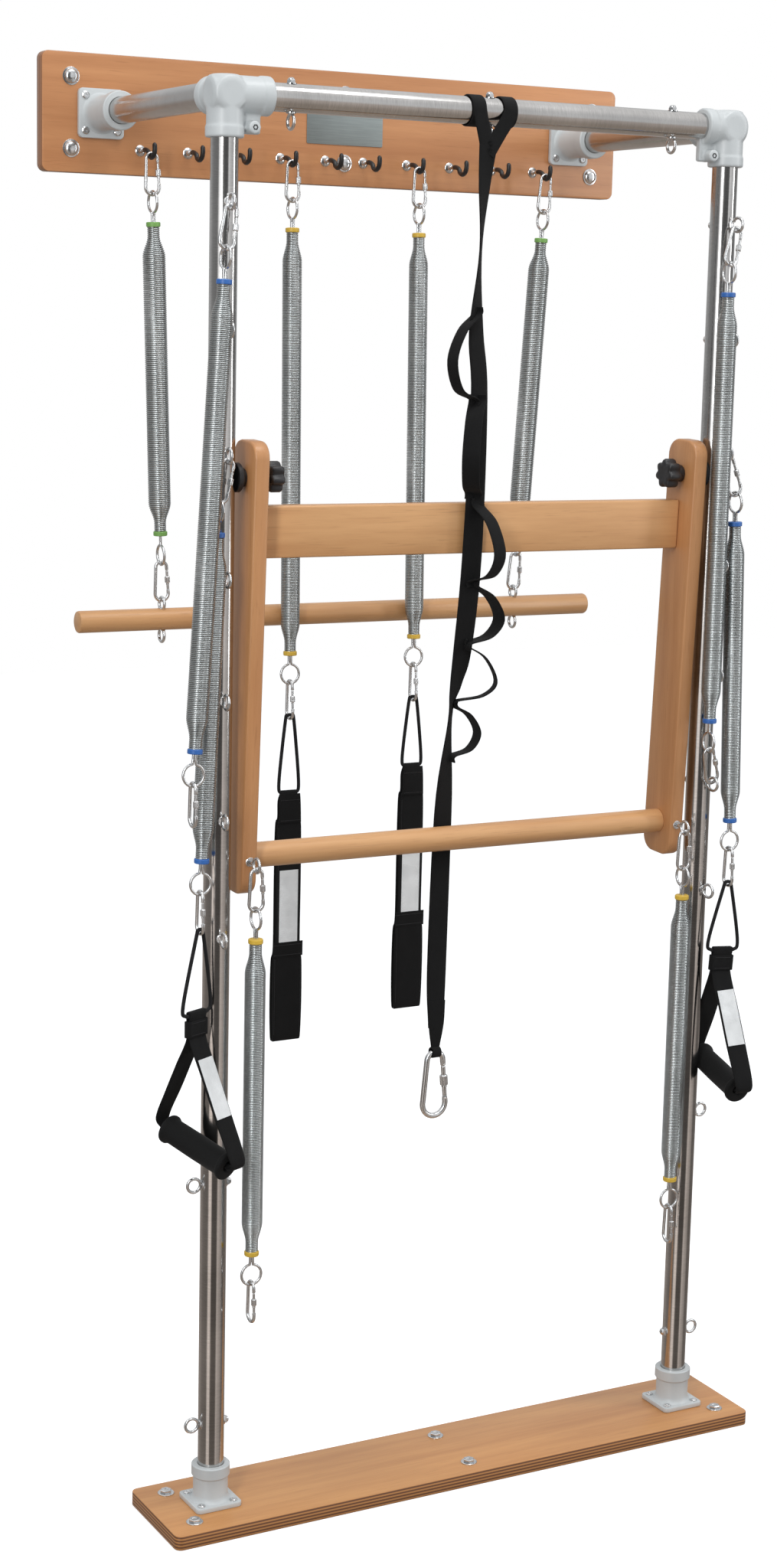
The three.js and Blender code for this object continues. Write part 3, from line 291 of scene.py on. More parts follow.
def woven(name, colour, across_pitch, along_pitch, roughness, strength, sheen, shine=0.5):
    """Cloth that follows the piece's own map, in metres across and along."""
    material, tree, shader = finish(name, colour, roughness, sheen=sheen, shine=shine)
    coords = place(tree, "ShaderNodeUVMap", uv_map="cloth")
    parts = place(tree, "ShaderNodeSeparateXYZ", {0: coords.outputs["UV"]})
    ridge = calc(tree, "SINE", calc(tree, "MULTIPLY", parts.outputs[0], turn / across_pitch))
    shift = calc(tree, "MULTIPLY", parts.outputs[0], turn / across_pitch / 2)
    pick = calc(tree, "SINE", calc(tree, "MULTIPLY_ADD", parts.outputs[1], turn / along_pitch, shift))
    weave = calc(tree, "MULTIPLY", calc(tree, "MULTIPLY_ADD", ridge, pick, 1.0), 0.5)
    fuzz = speckle(tree, (900, 900, 900), 2, 0.5)
    height = calc(tree, "MULTIPLY_ADD", fuzz, 0.25, weave)
    # The weave's grooves are painted darker and its ridges lighter: painted shade and painted highlight.
    tone = ramp(tree, weave, [[0.2, shade(colour, 0.62)], [0.8, shade(colour, 1.35)]])
    patches = speckle(tree, (30, 30, 30), 3, 0.6)
    dust = ramp(tree, patches, [[0.3, grey(0.85)], [0.75, grey(1.12)]])
    body = mix_colour(tree, "MULTIPLY", 1.0, tone, dust)
    feed(tree, body, shader.inputs["Base Color"])
    bump(tree, shader, height, strength, 0.0005)
    return material


board_thick = 24
floor_middle = -(board_thick / 2 + crossbar_z) / metre
wall_middle = -board_thick / 2 / metre
board_wood = wood("floor_board_beech", "x", (0.85, 0.82, 0.67), ply=("Z", floor_middle, board_thick / metre))
wall_wood = wood("wall_board_beech", "x", (0.81, 0.74, 0.72), ply=("Y", wall_middle, board_thick / metre))
# The push arms' tint darkens the same beech to the shade the arms stand in: painted shade.
shaded_arm_wood = wood("push_arm_beech", "z", (0.77, 0.74, 0.70))
bar_wood = wood("bar_beech", "x", (0.95, 1.04, 1.07))
tube_grey = (0.58, 0.57, 0.56)
tube_steel = metal("brushed_tube", tube_grey, 0.16, (60, 60, 1400), 0.08)
cross_steel = metal("brushed_crossbar", tube_grey, 0.18, (1400, 60, 60), 0.08)
arm_steel = metal("brushed_wall_arm", tube_grey, 0.24, (60, 1400, 60), 0.08)
zinc = metal("bright_zinc", (0.70, 0.71, 0.72), 0.20, (240, 240, 240), 0.06)
spring_steel = metal("spring_wire", (0.54, 0.575, 0.585), 0.29, (160, 160, 160), 0.03)
plate_metal = metal("plate_aluminium", (0.34, 0.38, 0.38), 0.55, (20, 1200, 1200), 0.10)
cast_paint = moulded("grey_cast_paint", (0.56, 0.585, 0.59), 0.42, 700, 0.10, 0.0003, coat=0.2, spread=0.06)
black_plastic = moulded("black_knob_plastic", (0.016, 0.016, 0.018), 0.42, 1100, 0.25, 0.0003)
hook_coat = moulded("hook_coat", (0.012, 0.012, 0.013), 0.38, 600, 0.15, 0.0003)
foam = moulded("grip_foam", (0.008, 0.008, 0.008), 0.85, 900, 0.55, 0.0006, sheen=0.04, shine=0.2)
black_cord = moulded("braided_cord", (0.008, 0.008, 0.009), 0.75, 1500, 0.6, 0.0005, sheen=0.05, shine=0.25)
webbing = woven("black_webbing", (0.0075, 0.0075, 0.0078), 0.0018, 0.0014, 0.82, 0.6, 0.03, shine=0.16)
thread = moulded("black_thread", (0.03, 0.03, 0.032), 0.7, 2000, 0.4, 0.0003)
label_cloth = woven("blank_label", (0.80, 0.81, 0.81), 0.0007, 0.0007, 0.55, 0.15, 0.1)
collar_looks = {
    "green": moulded("green_collar", (0.20, 0.42, 0.10), 0.45, 500, 0.1, 0.0003, coat=0.1),
    "yellow": moulded("yellow_collar", (0.72, 0.46, 0.05), 0.45, 500, 0.1, 0.0003, coat=0.1),
    "blue": moulded("blue_collar", (0.03, 0.14, 0.46), 0.45, 500, 0.1, 0.0003, coat=0.1),
}


# Shapes
class Shape:
    """Points and faces in the tower's frame, gathered for one piece."""

    def __init__(self):
        self.points = []
        self.faces = []
        self.cloth = []

    def add(self, points, faces, cloth=None):
        start = len(self.points)
        self.points += points
        self.faces += [[start + i for i in face] for face in faces]
        self.cloth += cloth or [[(0, 0)] * len(face) for face in faces]
        return self

    def rings(self, rings, closed=False, cloth=None):
        """A skin over rings of points; cloth gives the map of ring i's point k."""
        count = len(rings[0])
        total = len(rings)
        faces = []
        maps = []
        for i in range(total if closed else total - 1):
            j = (i + 1) % total
            for k in range(count):
                m = (k + 1) % count
                faces.append([i * count + k, i * count + m, j * count + m, j * count + k])
                if cloth:
                    maps.append([cloth(i, k), cloth(i, k + 1), cloth(i + 1, k + 1), cloth(i + 1, k)])
        if not closed:
            last = (total - 1) * count
            faces.append(list(range(count))[::-1])
            faces.append([last + k for k in range(count)])
            if cloth:
                maps.append([cloth(0, k) for k in range(count)][::-1])
                maps.append([cloth(total - 1, k) for k in range(count)])
        return self.add([p for ring in rings for p in ring], faces, maps if cloth else None)

    def lathe(self, profile, start, end, sides=40, lobes=None, closed=False):
        """Turned about the line from start to end; profile holds [radius, distance] pairs."""
        axis = (end - start).normalized()
        side = square_to(axis, across if abs(axis.x) < 0.9 else up)
        return self.rings(lathe_rings(profile, start, axis, side, sides, lobes), closed)

    def rod(self, radius, start, end, sides=40, bevel=0.6):
        length = (end - start).length
        profile = [[radius - bevel, 0], [radius, bevel], [radius, length - bevel], [radius - bevel, length]]
        return self.lathe(profile, start, end, sides)

    def wire(self, points, radii, normal, closed=False, sides=12):
        """A round wire along points that lie near one plane."""
        rings = []
        for i, point in enumerate(points):
            forward = heading(points, i, closed)
            side = forward.cross(normal).normalized()
            lift = side.cross(forward).normalized()
            radius = radii[i] if isinstance(radii, list) else radii
            rings.append(circle(point, side, lift, radius, sides))
        return self.rings(rings, closed)

    def torus(self, centre, a, b, radius, thick, steps=36, sides=12):
        return self.wire(circle(centre, a, b, radius, steps), thick, a.cross(b), True, sides)

    def slab(self, width, height, corner, thick, base, x, y, bevel=1.0, arc=8):
        """A plate with rounded corners and eased edges, from its back face's middle along x cross y."""
        z = x.cross(y)
        outline = []
        for quarter, (sx, sy) in enumerate([(1, 1), (-1, 1), (-1, -1), (1, -1)]):
            for i in range(arc + 1):
                angle = turn * (quarter + i / arc) / 4
                outline.append((sx * (width / 2 - corner), sy * (height / 2 - corner), angle))
        eased = bevel * 0.3
        lifts = [
            (bevel, 0), (eased, eased), (0, bevel),
            (0, thick - bevel), (eased, thick - eased), (bevel, thick),
        ]
        rings = []
        for inset, lift in lifts:
            radius = max(corner - inset, 0.05)
            ring = [
                base + x * (cx + radius * math.cos(a)) + y * (cy + radius * math.sin(a)) + z * lift
                for cx, cy, a in outline
            ]
            rings.append(ring)
        return self.rings(rings)

    def piece(self, name, material, soft_angle=32):
        """One closed mesh object in the row's frame, its faces outwards."""
        mesh = bpy.data.meshes.new(name)
        mesh.from_pydata([to_row @ p for p in self.points], [], self.faces)
        layer = mesh.uv_layers.new(name="cloth")
        corners = [c for face in self.cloth for c in face]
        for item, (u, v) in zip(layer.data, corners):
            item.uv = (u / metre, v / metre)
        work = bmesh.new()
        work.from_mesh(mesh)
        bmesh.ops.recalc_face_normals(work, faces=work.faces)
        work.to_mesh(mesh)
        work.free()
        mesh.materials.append(material)
        mesh.shade_smooth()
        mesh.set_sharp_from_angle(angle=math.radians(soft_angle))
        return shown(name, mesh)


def settle(piece, body, slot, *nodes):
    """The piece rides on a body and may stand for CAD nodes, which it hides; its slot is not used."""
    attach(piece, body)
    if nodes:
        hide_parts(*nodes)


# Node trees
def start_tree(name, sockets):
    tree = bpy.data.node_groups.new(name, "GeometryNodeTree")
    tree.interface.new_socket("Geometry", in_out="OUTPUT", socket_type="NodeSocketGeometry")
    tree.interface.new_socket("Geometry", in_out="INPUT", socket_type="NodeSocketGeometry")
    for label, kind in sockets:
        tree.interface.new_socket(label, in_out="INPUT", socket_type="NodeSocket" + kind)
    return tree, tree.nodes.new("NodeGroupInput").outputs


def close_tree(tree, geometry, material):
    """Ends a tree in real geometry with its material."""
    real = place(tree, "GeometryNodeRealizeInstances", {0: geometry})
    smooth = place(tree, "GeometryNodeSetShadeSmooth", {0: real})
    painted = place(tree, "GeometryNodeSetMaterial", {"Geometry": smooth, "Material": material})
    end = tree.nodes.new("NodeGroupOutput")
    feed(tree, painted, end.inputs[0])


def grown(tree, name, values, where=None, soft_angle=32):
    """Runs a tree once and keeps what it makes as a plain mesh object, set in its place."""
    holder = shown(name + "_maker", bpy.data.meshes.new(name + "_maker"))
    modifier = holder.modifiers.new("maker", "NODES")
    modifier.node_group = tree
    inputs = {item.name: item.identifier for item in tree.interface.items_tree if item.in_out == "INPUT"}
    for label, value in values.items():
        modifier[inputs[label]] = value
    graph = bpy.context.evaluated_depsgraph_get()
    mesh = bpy.data.meshes.new_from_object(holder.evaluated_get(graph))
    mesh.name = name
    mesh.transform(to_row @ (where or Matrix.Identity(4)))
    mesh.set_sharp_from_angle(angle=math.radians(soft_angle))
    bpy.data.objects.remove(holder)
    return shown(name, mesh)


def frame_at(base, x, y):
    turned = Matrix((x, y, x.cross(y))).transposed().to_4x4()
    return Matrix.Translation(base) @ turned


def winding_tree():
    """A close-wound wire whose outside narrows to a neck near both ends."""
    sizes = ("Length", "Outside", "Neck", "Wire", "Neck Run", "Taper End")
    others = [("Turns", "Int"), ("Steps", "Int"), ("Metal", "Material")]
    tree, given = start_tree("winding", [(label, "Float") for label in sizes] + others)
    top = place(tree, "ShaderNodeCombineXYZ", {"Z": given["Length"]})
    line = place(tree, "GeometryNodeCurvePrimitiveLine", {"End": top})
    count = calc(tree, "MULTIPLY", given["Turns"], given["Steps"])
    points = place(tree, "GeometryNodeResampleCurve", {"Curve": line, "Count": count})
    share = place(tree, "GeometryNodeSplineParameter").outputs["Factor"]
    height = calc(tree, "MULTIPLY", share, given["Length"])
    from_end = calc(tree, "MINIMUM", height, calc(tree, "SUBTRACT", given["Length"], height))
    wire_half = calc(tree, "MULTIPLY", given["Wire"], 0.5)
    radius = place(tree, "ShaderNodeMapRange", {
        "Value": from_end,
        "From Min": given["Neck Run"],
        "From Max": given["Taper End"],
        "To Min": calc(tree, "SUBTRACT", given["Neck"], wire_half),
        "To Max": calc(tree, "SUBTRACT", given["Outside"], wire_half),
    }, interpolation_type="SMOOTHSTEP")
    angle = calc(tree, "MULTIPLY", calc(tree, "MULTIPLY", share, given["Turns"]), turn)
    offset = place(tree, "ShaderNodeCombineXYZ", {
        "X": calc(tree, "MULTIPLY", calc(tree, "COSINE", angle), radius),
        "Y": calc(tree, "MULTIPLY", calc(tree, "SINE", angle), radius),
    })
    wound = place(tree, "GeometryNodeSetPosition", {"Geometry": points, "Offset": offset})
    section = place(tree, "GeometryNodeCurvePrimitiveCircle", {"Resolution": 8, "Radius": wire_half})
    solid = place(tree, "GeometryNodeCurveToMesh", {
        "Curve": wound,
        "Profile Curve": section,
        "Fill Caps": True,
    })
    close_tree(tree, solid, given["Metal"])
    return tree


def copies_tree(name, sizes, kind, pattern):
    """Copies of one part on a pattern of points, such as a row of hooks or a grid of bolts."""
    tree, given = start_tree(name, [("Part", "Object"), ("Metal", "Material")] + sizes)
    points = place(tree, kind, {socket: given[label] for socket, label in pattern.items()})
    part = place(tree, "GeometryNodeObjectInfo", {"Object": given["Part"]})
    sockets = {"Points": points, "Instance": part.outputs["Geometry"]}
    copies = place(tree, "GeometryNodeInstanceOnPoints", sockets)
    close_tree(tree, copies, given["Metal"])
    return tree


windings = winding_tree()
rows = copies_tree(
    "row", [("Start", "Vector"), ("Pitch", "Vector"), ("Count", "Int")], "GeometryNodeMeshLine",
    {"Start Location": "Start", "Offset": "Pitch", "Count": "Count"},
)
grids = copies_tree(
    "grid", [("Width", "Float"), ("Depth", "Float"), ("Columns", "Int"), ("Rows", "Int")],
    "GeometryNodeMeshGrid",
    {"Size X": "Width", "Size Y": "Depth", "Vertices X": "Columns", "Vertices Y": "Rows"},
)


def copied(tree, name, shape, values, look=zinc, where=None):
    """Copies of one shape by a tree; the copied part stays in millimetres and is deleted after use."""
    part = shape.piece(name + "_part", zinc)
    part.data.transform(to_row.inverted())
    made = grown(tree, name, {"Part": part, "Metal": look, **values}, where)
    bpy.data.objects.remove(part)
    return made


def in_row(name, shape, start, pitch, count, look=zinc):
    return copied(rows, name, shape, {"Start": start, "Pitch": pitch, "Count": count}, look)


def on_grid(name, shape, width, depth, columns, lines, where=None):
    values = {"Width": width, "Depth": depth, "Columns": columns, "Rows": lines}
    return copied(grids, name, shape, values, where=where)


def joined(name, *objects):
    """Several objects of the same finish as one piece."""
    first = objects[0]
    with bpy.context.temp_override(active_object=first, selected_editable_objects=list(objects)):
        bpy.ops.object.join()
    first.name = name
    first.data.name = name
    return first


# Floor board and wall board
board_length = 1100
board_width = 190
board_corner = 12
board_bevel = 1.6
floor_bolt_x = 503
wall_bolt_x = 500
bolt_offset = 57
wall_y = 486


plate_size = (146, 66)
plate_corner = 3
plate_thick = 1.5
plate_z = 2211


def domed_bolt():
    dome = [[12, -0.3], [12, 1.2], [11.2, 3.4], [9.2, 5.4], [6.2, 6.6], [3, 7], [0, 7]]
    washer = [[14.5, -0.3], [14.5, 0.9], [13.6, 1.3], [0, 1.3]]
    return Shape().lathe(dome, origin, up, 32).lathe(washer, origin, up, 32)


def hex_bolt():
    washer = [[13.5, -0.3], [13.5, 1.4], [12.6, 2], [0, 2]]
    head = [[9.6, 1.5], [9.6, 5.6], [8.4, 6.6], [4.4, 6.6], [3.2, 5.2], [0, 5.2]]
    return Shape().lathe(washer, origin, up, 32).lathe(head, origin, up, 6)


def board(name, look, face, upwards, node):
    sizes = (board_length, board_width, board_corner, board_thick)
    plank = Shape().slab(*sizes, face, across, upwards, board_bevel)
    settle(plank.piece(name, look), "tower", "beech", node)


def boards():
    board("floor_plank", board_wood, spot(0, 0, -board_thick), back, "floor_board")
    board("wall_plank", wall_wood, spot(0, wall_plane, crossbar_z), up, "wall_board")
    bolts = on_grid("floor_bolts", hex_bolt(), 2 * floor_bolt_x, 2 * bolt_offset, 3, 2)
    settle(bolts, "tower", "zinc_steel")
    on_wall = frame_at(spot(0, wall_y, crossbar_z), across, up)
    bolts = on_grid("wall_bolts", domed_bolt(), 2 * wall_bolt_x, 2 * bolt_offset, 3, 2, on_wall)
    settle(bolts, "tower", "zinc_steel")
    plate = Shape().slab(*plate_size, plate_corner, plate_thick, spot(0, wall_y, plate_z), across, up, 0.4)
    settle(plate.piece("blank_plate", plate_metal), "tower", "steel_tube")


boards()

# Hooks
hook_first = 36.5
hook_pitch = 85.5
hook_count = 5
hook_base = 2150
hook_radius = 4
bowl_y = 438
bowl_z = 2137
bowl_radius = 13
tip_z = 2160


def smooth_path(points, steps, closed=False):
    """A Catmull-Rom line through points."""
    total = len(points)
    runs = total if closed else total - 1
    found = []
    for i in range(runs):
        if closed:
            p0, p1, p2, p3 = (points[(i + k) % total] for k in (-1, 0, 1, 2))
        else:
            p1, p2 = points[i], points[i + 1]
            p0 = points[i - 1] if i else p1 * 2 - p2
            p3 = points[i + 2] if i + 2 < total else p2 * 2 - p1
        for s in range(steps):
            t = s / steps
            found.append((p1 * 2 + (p2 - p0) * t + (p0 * 2 - p1 * 5 + p2 * 4 - p3) * t * t
                          + (p1 * 3 - p0 - p2 * 3 + p3) * t ** 3) / 2)
    if not closed:
        found.append(points[-1])
    return found


def hooks():
    bowl_top = bowl_y + bowl_radius
    shank = Shape().rod(3, spot(0, wall_y + 2, hook_base), spot(0, bowl_top + 16, hook_base), 20)
    rosette = [[9, 0], [9, 1], [7.5, 2.2], [4.5, 3], [3, 6]]
    shank.lathe(rosette, spot(0, wall_y, hook_base), spot(0, wall_y - 9, hook_base), 28)
    bend = [
        spot(0, bowl_top + 18, hook_base + 0.4),
        spot(0, bowl_top + 10, hook_base),
        spot(0, bowl_y + bowl_radius * 0.98, bowl_z + 9.2),
        spot(0, bowl_y + bowl_radius * 0.68, bowl_z + 3.2),
        spot(0, bowl_y, bowl_z),
        spot(0, bowl_y - bowl_radius * 0.72, bowl_z + 3.8),
        spot(0, bowl_y - bowl_radius, bowl_z + 13),
        spot(0, bowl_y - bowl_radius * 0.9, tip_z),
    ]
    path = smooth_path(bend, 5)
    fade = [hook_radius] * len(path)
    fade[0] = hook_radius * 0.7
    fade[-1] = hook_radius * 0.45
    fade[-2] = hook_radius * 0.86
    bowl = Shape().wire(path, fade, across, sides=14)
    for name, shape, look, slot in (
        ("hook_shanks", shank, zinc, "zinc_steel"),
        ("hook_bends", bowl, hook_coat, "black_plastic"),
    ):
        sides = []
        for sign in (-1, 1):
            start = (sign * hook_first, 0, 0)
            pitch = (sign * hook_pitch, 0, 0)
            sides.append(in_row(name + str(sign), shape, start, pitch, hook_count, look))
        settle(joined(name, *sides), "tower", slot)


hooks()

# Tubes
tube_radius = 21
tube_wall = 2.5
tube_edge = 0.5
upright_x = 450
corner_clear = 24
flange_thick = 8
flange_side = 79
flange_corner = 8
flange_screw = 28
socket_radius = 28
wall_socket_length = 91
floor_socket_length = 67
collar_radius = 31
collar_length = 19
fit_gap = 0.3
eye_radius = 11
eye_wire = 2.5
eye_reach = 34
eye_top = 2050
eye_pitch = 185.5
eye_count = 7
low_eyes = (537, 136)
crossbar_eye_x = 342
eye_turns = {"left": math.radians(4), "right": math.radians(11)}


def hollow(start, end):
    """A tube with eased ends."""
    length = (end - start).length
    inner, rim = tube_radius - tube_wall, tube_radius - tube_edge
    profile = [
        [inner, 0], [rim, 0], [tube_radius, tube_edge], [tube_radius, length - tube_edge],
        [rim, length], [inner, length], [inner, length - 1], [inner, 1],
    ]
    return Shape().lathe(profile, start, end, 56, closed=True)


def eye_bolt(centre, outwards, upwards=up, reach=eye_reach, half=tube_radius):
    """A ring on a shank through a piece of some half depth, its collar in front and its domed nut behind."""
    shape = Shape().torus(centre + outwards * reach, upwards, outwards, eye_radius, eye_wire)
    start = centre + outwards * (reach - eye_radius + 0.6)
    seat = centre + outwards * (half - 1)
    length = (seat - start).length
    shape.lathe([[2.6, 0], [3.1, 3], [3, length * 0.7], [3, length]], start, seat, 16)
    shape.lathe([[7.5, 0], [7.5, 2], [6.8, 2.6], [3, 2.6]], seat, seat + outwards, 24)
    rear = centre - outwards * (half - 1.2)
    shape.lathe([[8.2, 0], [8.2, 1.9], [0, 1.9]], rear, rear - outwards, 24)
    shape.lathe([[7, 1.5], [7, 6], [6, 6.6], [0, 6.6]], rear, rear - outwards, 6)
    return shape.lathe([[5.6, 6], [5.2, 8], [3.6, 9.6], [1.5, 10.2], [0, 10.2]], rear, rear - outwards, 20)


def flange_screw_head():
    profile = [[6.5, -0.3], [6.3, 1.4], [4.6, 2.5], [2.1, 2.5], [1.6, 1.2], [0, 1.2]]
    return Shape().lathe(profile, origin, up, 24)


def socket(name, on_face, outwards, length, node):
    """A painted flange with its round socket and four screws."""
    base = on_face + outwards * fit_gap
    upright = outwards.cross(across)
    shape = Shape().slab(flange_side, flange_side, flange_corner, flange_thick, base, across, upright, 1.2)
    bore = tube_radius + fit_gap
    ledge = length - collar_length
    outside = [
        [34.5, flange_thick - 1], [31.6, flange_thick + 1.2], [29.4, flange_thick + 4],
        [socket_radius, flange_thick + 9], [socket_radius, ledge - 2.5], [socket_radius + 1.2, ledge - 0.6],
        [collar_radius, ledge + 1.2], [collar_radius, length - 1.6], [collar_radius - 1.6, length],
        [bore + 0.8, length], [bore, length - 0.8], [bore, length - 14],
    ]
    shape.lathe(outside, base, base + outwards, 56)
    settle(shape.piece(name, cast_paint), "tower", "casting", node)
    on_flange = frame_at(base + outwards * flange_thick, across, upright)
    spread = 2 * flange_screw
    screws = on_grid(name + "_screws", flange_screw_head(), spread, spread, 2, 2, on_flange)
    settle(screws, "tower", "zinc_steel")


def uprights():
    clear = flange_thick + 2 * fit_gap
    for hand, sign in hands.items():
        x = sign * upright_x
        shaft = hollow(spot(x, 0, clear), spot(x, 0, crossbar_z - corner_clear))
        settle(shaft.piece("upright_tube_" + hand, tube_steel), "tower", "steel_tube", "upright_" + hand)
        angle = eye_turns[hand]
        bolt = eye_bolt(spot(x, 0, eye_top), spot(sign * math.sin(angle), -math.cos(angle), 0))
        high = in_row("high_eyes", bolt, (0, 0, 0), (0, 0, -eye_pitch), eye_count)
        bolt = eye_bolt(spot(x, 0, low_eyes[0]), across * sign)
        low = in_row("low_eyes", bolt, (0, 0, 0), (0, 0, low_eyes[1] - low_eyes[0]), len(low_eyes))
        settle(joined("eye_bolts_" + hand, high, low), "tower", "zinc_steel")
        socket("floor_flange_" + hand, spot(x, 0, 0), up, floor_socket_length, "floor_socket_" + hand)
        on_wall = spot(x, wall_y, crossbar_z)
        socket("wall_flange_casting_" + hand, on_wall, front, wall_socket_length, "wall_flange_" + hand)
        arm = hollow(spot(x, corner_clear, crossbar_z), spot(x, wall_y - clear, crossbar_z))
        settle(arm.piece("wall_arm_tube_" + hand, arm_steel), "tower", "steel_tube", "wall_arm_" + hand)


def crossbar():
    reach = upright_x - corner_clear
    bar = hollow(spot(-reach, 0, crossbar_z), spot(reach, 0, crossbar_z))
    settle(bar.piece("crossbar_tube", cross_steel), "tower", "steel_tube", "top_crossbar")
    bolt = eye_bolt(spot(0, 0, crossbar_z), down, back)
    eyes = in_row("crossbar_eyes", bolt, (-crossbar_eye_x, 0, 0), (crossbar_eye_x, 0, 0), 3)
    settle(eyes, "tower", "zinc_steel")


uprights()
crossbar()

# Corner fittings
fitting_radius = 27.5
mouth_radius = 29
mouth_lip = 16
long_mouth = 72
short_mouth = 50
fitting_drop = 63
mouth_edge = 1.6
boss_x = 411
boss_drop = 47
boss_radius = 9.5
boss_front = 24
boss_back = 4
gusset_side = 56
gusset_thick = 12
melt_grid = 0.0016


def corner_fitting(hand):
    """A three-way casting: its branches are melted together on a fine grid, so its joins are filleted."""
    sign = hands[hand]
    centre = spot(sign * upright_x, 0, crossbar_z)
    inward = across * -sign
    lengths = {"left": (long_mouth, short_mouth), "right": (short_mouth, long_mouth)}[hand]
    shape = Shape()
    for direction, reach in ((down, fitting_drop), (inward, lengths[0]), (back, lengths[1])):
        profile = [
            [fitting_radius - 9, -fitting_radius], [fitting_radius - 3, -fitting_radius + 2],
            [fitting_radius, -fitting_radius + 8], [fitting_radius, reach - mouth_lip - 2],
            [mouth_radius, reach - mouth_lip], [mouth_radius, reach - mouth_edge],
            [mouth_radius - mouth_edge, reach],
        ]
        shape.lathe(profile, centre, centre + direction, 48)
    boss = spot(sign * boss_x, 0, crossbar_z - boss_drop)
    shape.rod(boss_radius, boss + front * boss_front, boss + back * boss_back, 24, 1.2)
    web = centre + spot(-sign * gusset_side / 2, gusset_thick / 2, -gusset_side / 2)
    shape.slab(gusset_side, gusset_side, 3, gusset_thick, web, across, up, 1)
    casting = shape.piece("corner_casting_" + hand, cast_paint)
    melt = casting.modifiers.new("melt", "REMESH")
    melt.mode = "VOXEL"
    melt.voxel_size = melt_grid
    melt.use_smooth_shade = True
    ease = casting.modifiers.new("ease", "SMOOTH")
    ease.factor = 0.5
    ease.iterations = 5
    graph = bpy.context.evaluated_depsgraph_get()
    mesh = bpy.data.meshes.new_from_object(casting.evaluated_get(graph))
    mesh.name = casting.name
    mesh.materials.clear()
    mesh.materials.append(cast_paint)
    casting.modifiers.clear()
    casting.data = mesh
    settle(casting, "tower", "casting", "corner_fitting_" + hand)
    hexagon = [[4.4, 0], [4.4, 1], [2.6, 1], [2.4, -1], [0, -1]]
    grub = Shape().lathe(hexagon, boss + front * (boss_front - 0.6), boss + front * (boss_front + 1), 6)
    settle(grub.piece("grub_screw_" + hand, black_plastic), "tower", "black_plastic")


for each_hand in hands:
    corner_fitting(each_hand)

# Push-through frame
pivot_z = 1645
push_lean = math.radians(2.6)
arm_inner = 387.3
arm_thick = 25
arm_depth = 80
arm_above = 56
arm_below = 647
arm_corner = 27
push_bar_down = 591
push_eye_reach = 64
push_bar_radius = 20
rail_height = 80
rail_corner = 4
rail_thick = 24
rail_behind = 37
rail_below = 44
knob_inner = 352
knob_deep = 22
knob_lobes = 7
stud_end = 428.4
arm_down = spot(0, math.sin(push_lean), -math.cos(push_lean))
arm_back = spot(0, math.cos(push_lean), math.sin(push_lean))


def push_spot(x, behind, below):
    return spot(x, 0, pivot_z) + arm_back * behind + arm_down * below


def push_frame():
    for hand, sign in hands.items():
        inner = sign * arm_inner if sign > 0 else -arm_inner - arm_thick
        middle = push_spot(inner, 0, (arm_below - arm_above) / 2)
        arm = Shape().slab(
            arm_depth, arm_above + arm_below, arm_corner, arm_thick, middle, arm_back, -arm_down, 3.4, 14
        )
        settle(arm.piece("push_arm_board_" + hand, shaded_arm_wood, 50), "push_frame", "beech", "push_arm_" + hand)
        eye_x = sign * (arm_inner + arm_thick / 2)
        eye_base = push_spot(eye_x, 0, push_bar_down)
        eye = eye_bolt(eye_base, -arm_back, reach=push_eye_reach, half=arm_depth / 2)
        settle(eye.piece("push_eye_" + hand, zinc), "push_frame", "zinc_steel")
    reach = arm_inner - fit_gap
    middle = push_spot(0, rail_behind + rail_thick - arm_depth / 2, rail_below + rail_height / 2)
    rail = Shape().slab(2 * reach, rail_height, rail_corner, rail_thick, middle, across, -arm_down, 2.6)
    settle(rail.piece("push_rail_board", bar_wood, 50), "push_frame", "beech", "push_rail")
    ends = (push_spot(-reach, 0, push_bar_down), push_spot(reach, 0, push_bar_down))
    bar = Shape().rod(push_bar_radius, *ends, 56, 0.5)
    settle(bar.piece("push_bar_rod", bar_wood), "push_frame", "beech", "push_bar")


def lobed(angle):
    wave = math.cos(knob_lobes * angle)
    return 1 - 0.075 * (1 - wave) - 0.02 * (1 - wave) ** 2


def knobs():
    for hand, sign in hands.items():

        def on_pivot(x):
            return spot(sign * x, 0, pivot_z)

        inner = on_pivot(knob_inner)
        profile = [
            [3, 0.6], [14, 0.2], [20.5, 0], [23, 1.2], [24.5, 4.2],
            [24.5, 18.4], [23, 21.6], [20, 23], [14.5, 23],
        ]
        knob = Shape().lathe(profile, inner, inner + across * sign, 112, lobed)
        hub_end = arm_inner - fit_gap
        knob.rod(14, on_pivot(knob_inner + knob_deep), on_pivot(hub_end), 40, 1)
        moulding = knob.piece("knob_" + hand + "_moulding", black_plastic, 50)
        settle(moulding, "knob_" + hand, "black_plastic", "pivot_knob_" + hand)
        stud = Shape().rod(5, on_pivot(hub_end - 1), on_pivot(stud_end), 24)
        settle(stud.piece("knob_" + hand + "_stud", zinc), "knob_" + hand, "zinc_steel")
        start = arm_inner + arm_thick + fit_gap
        length = upright_x - tube_radius - fit_gap - start
        profile = [
            [5.4, 0], [13.4, 0], [14, 0.6], [14, length - 8], [21.5, length - 8], [22.5, length - 7],
            [22.5, length - 0.8], [21.7, length], [5.4, length],
        ]
        spacer = Shape().lathe(profile, on_pivot(start), on_pivot(start + 1), 40)
        moulding = spacer.piece("pivot_spacer_moulding_" + hand, black_plastic)
        settle(moulding, "tower", "black_plastic", "pivot_spacer_" + hand)


push_frame()
knobs()

# Roll-down bar
roll_length = 1000
roll_radius = 18.5
roll_y = 457
roll_z = 1377.5
roll_eye_x = 347
roll_eye_up = 26
roll_eye_down = 27.5


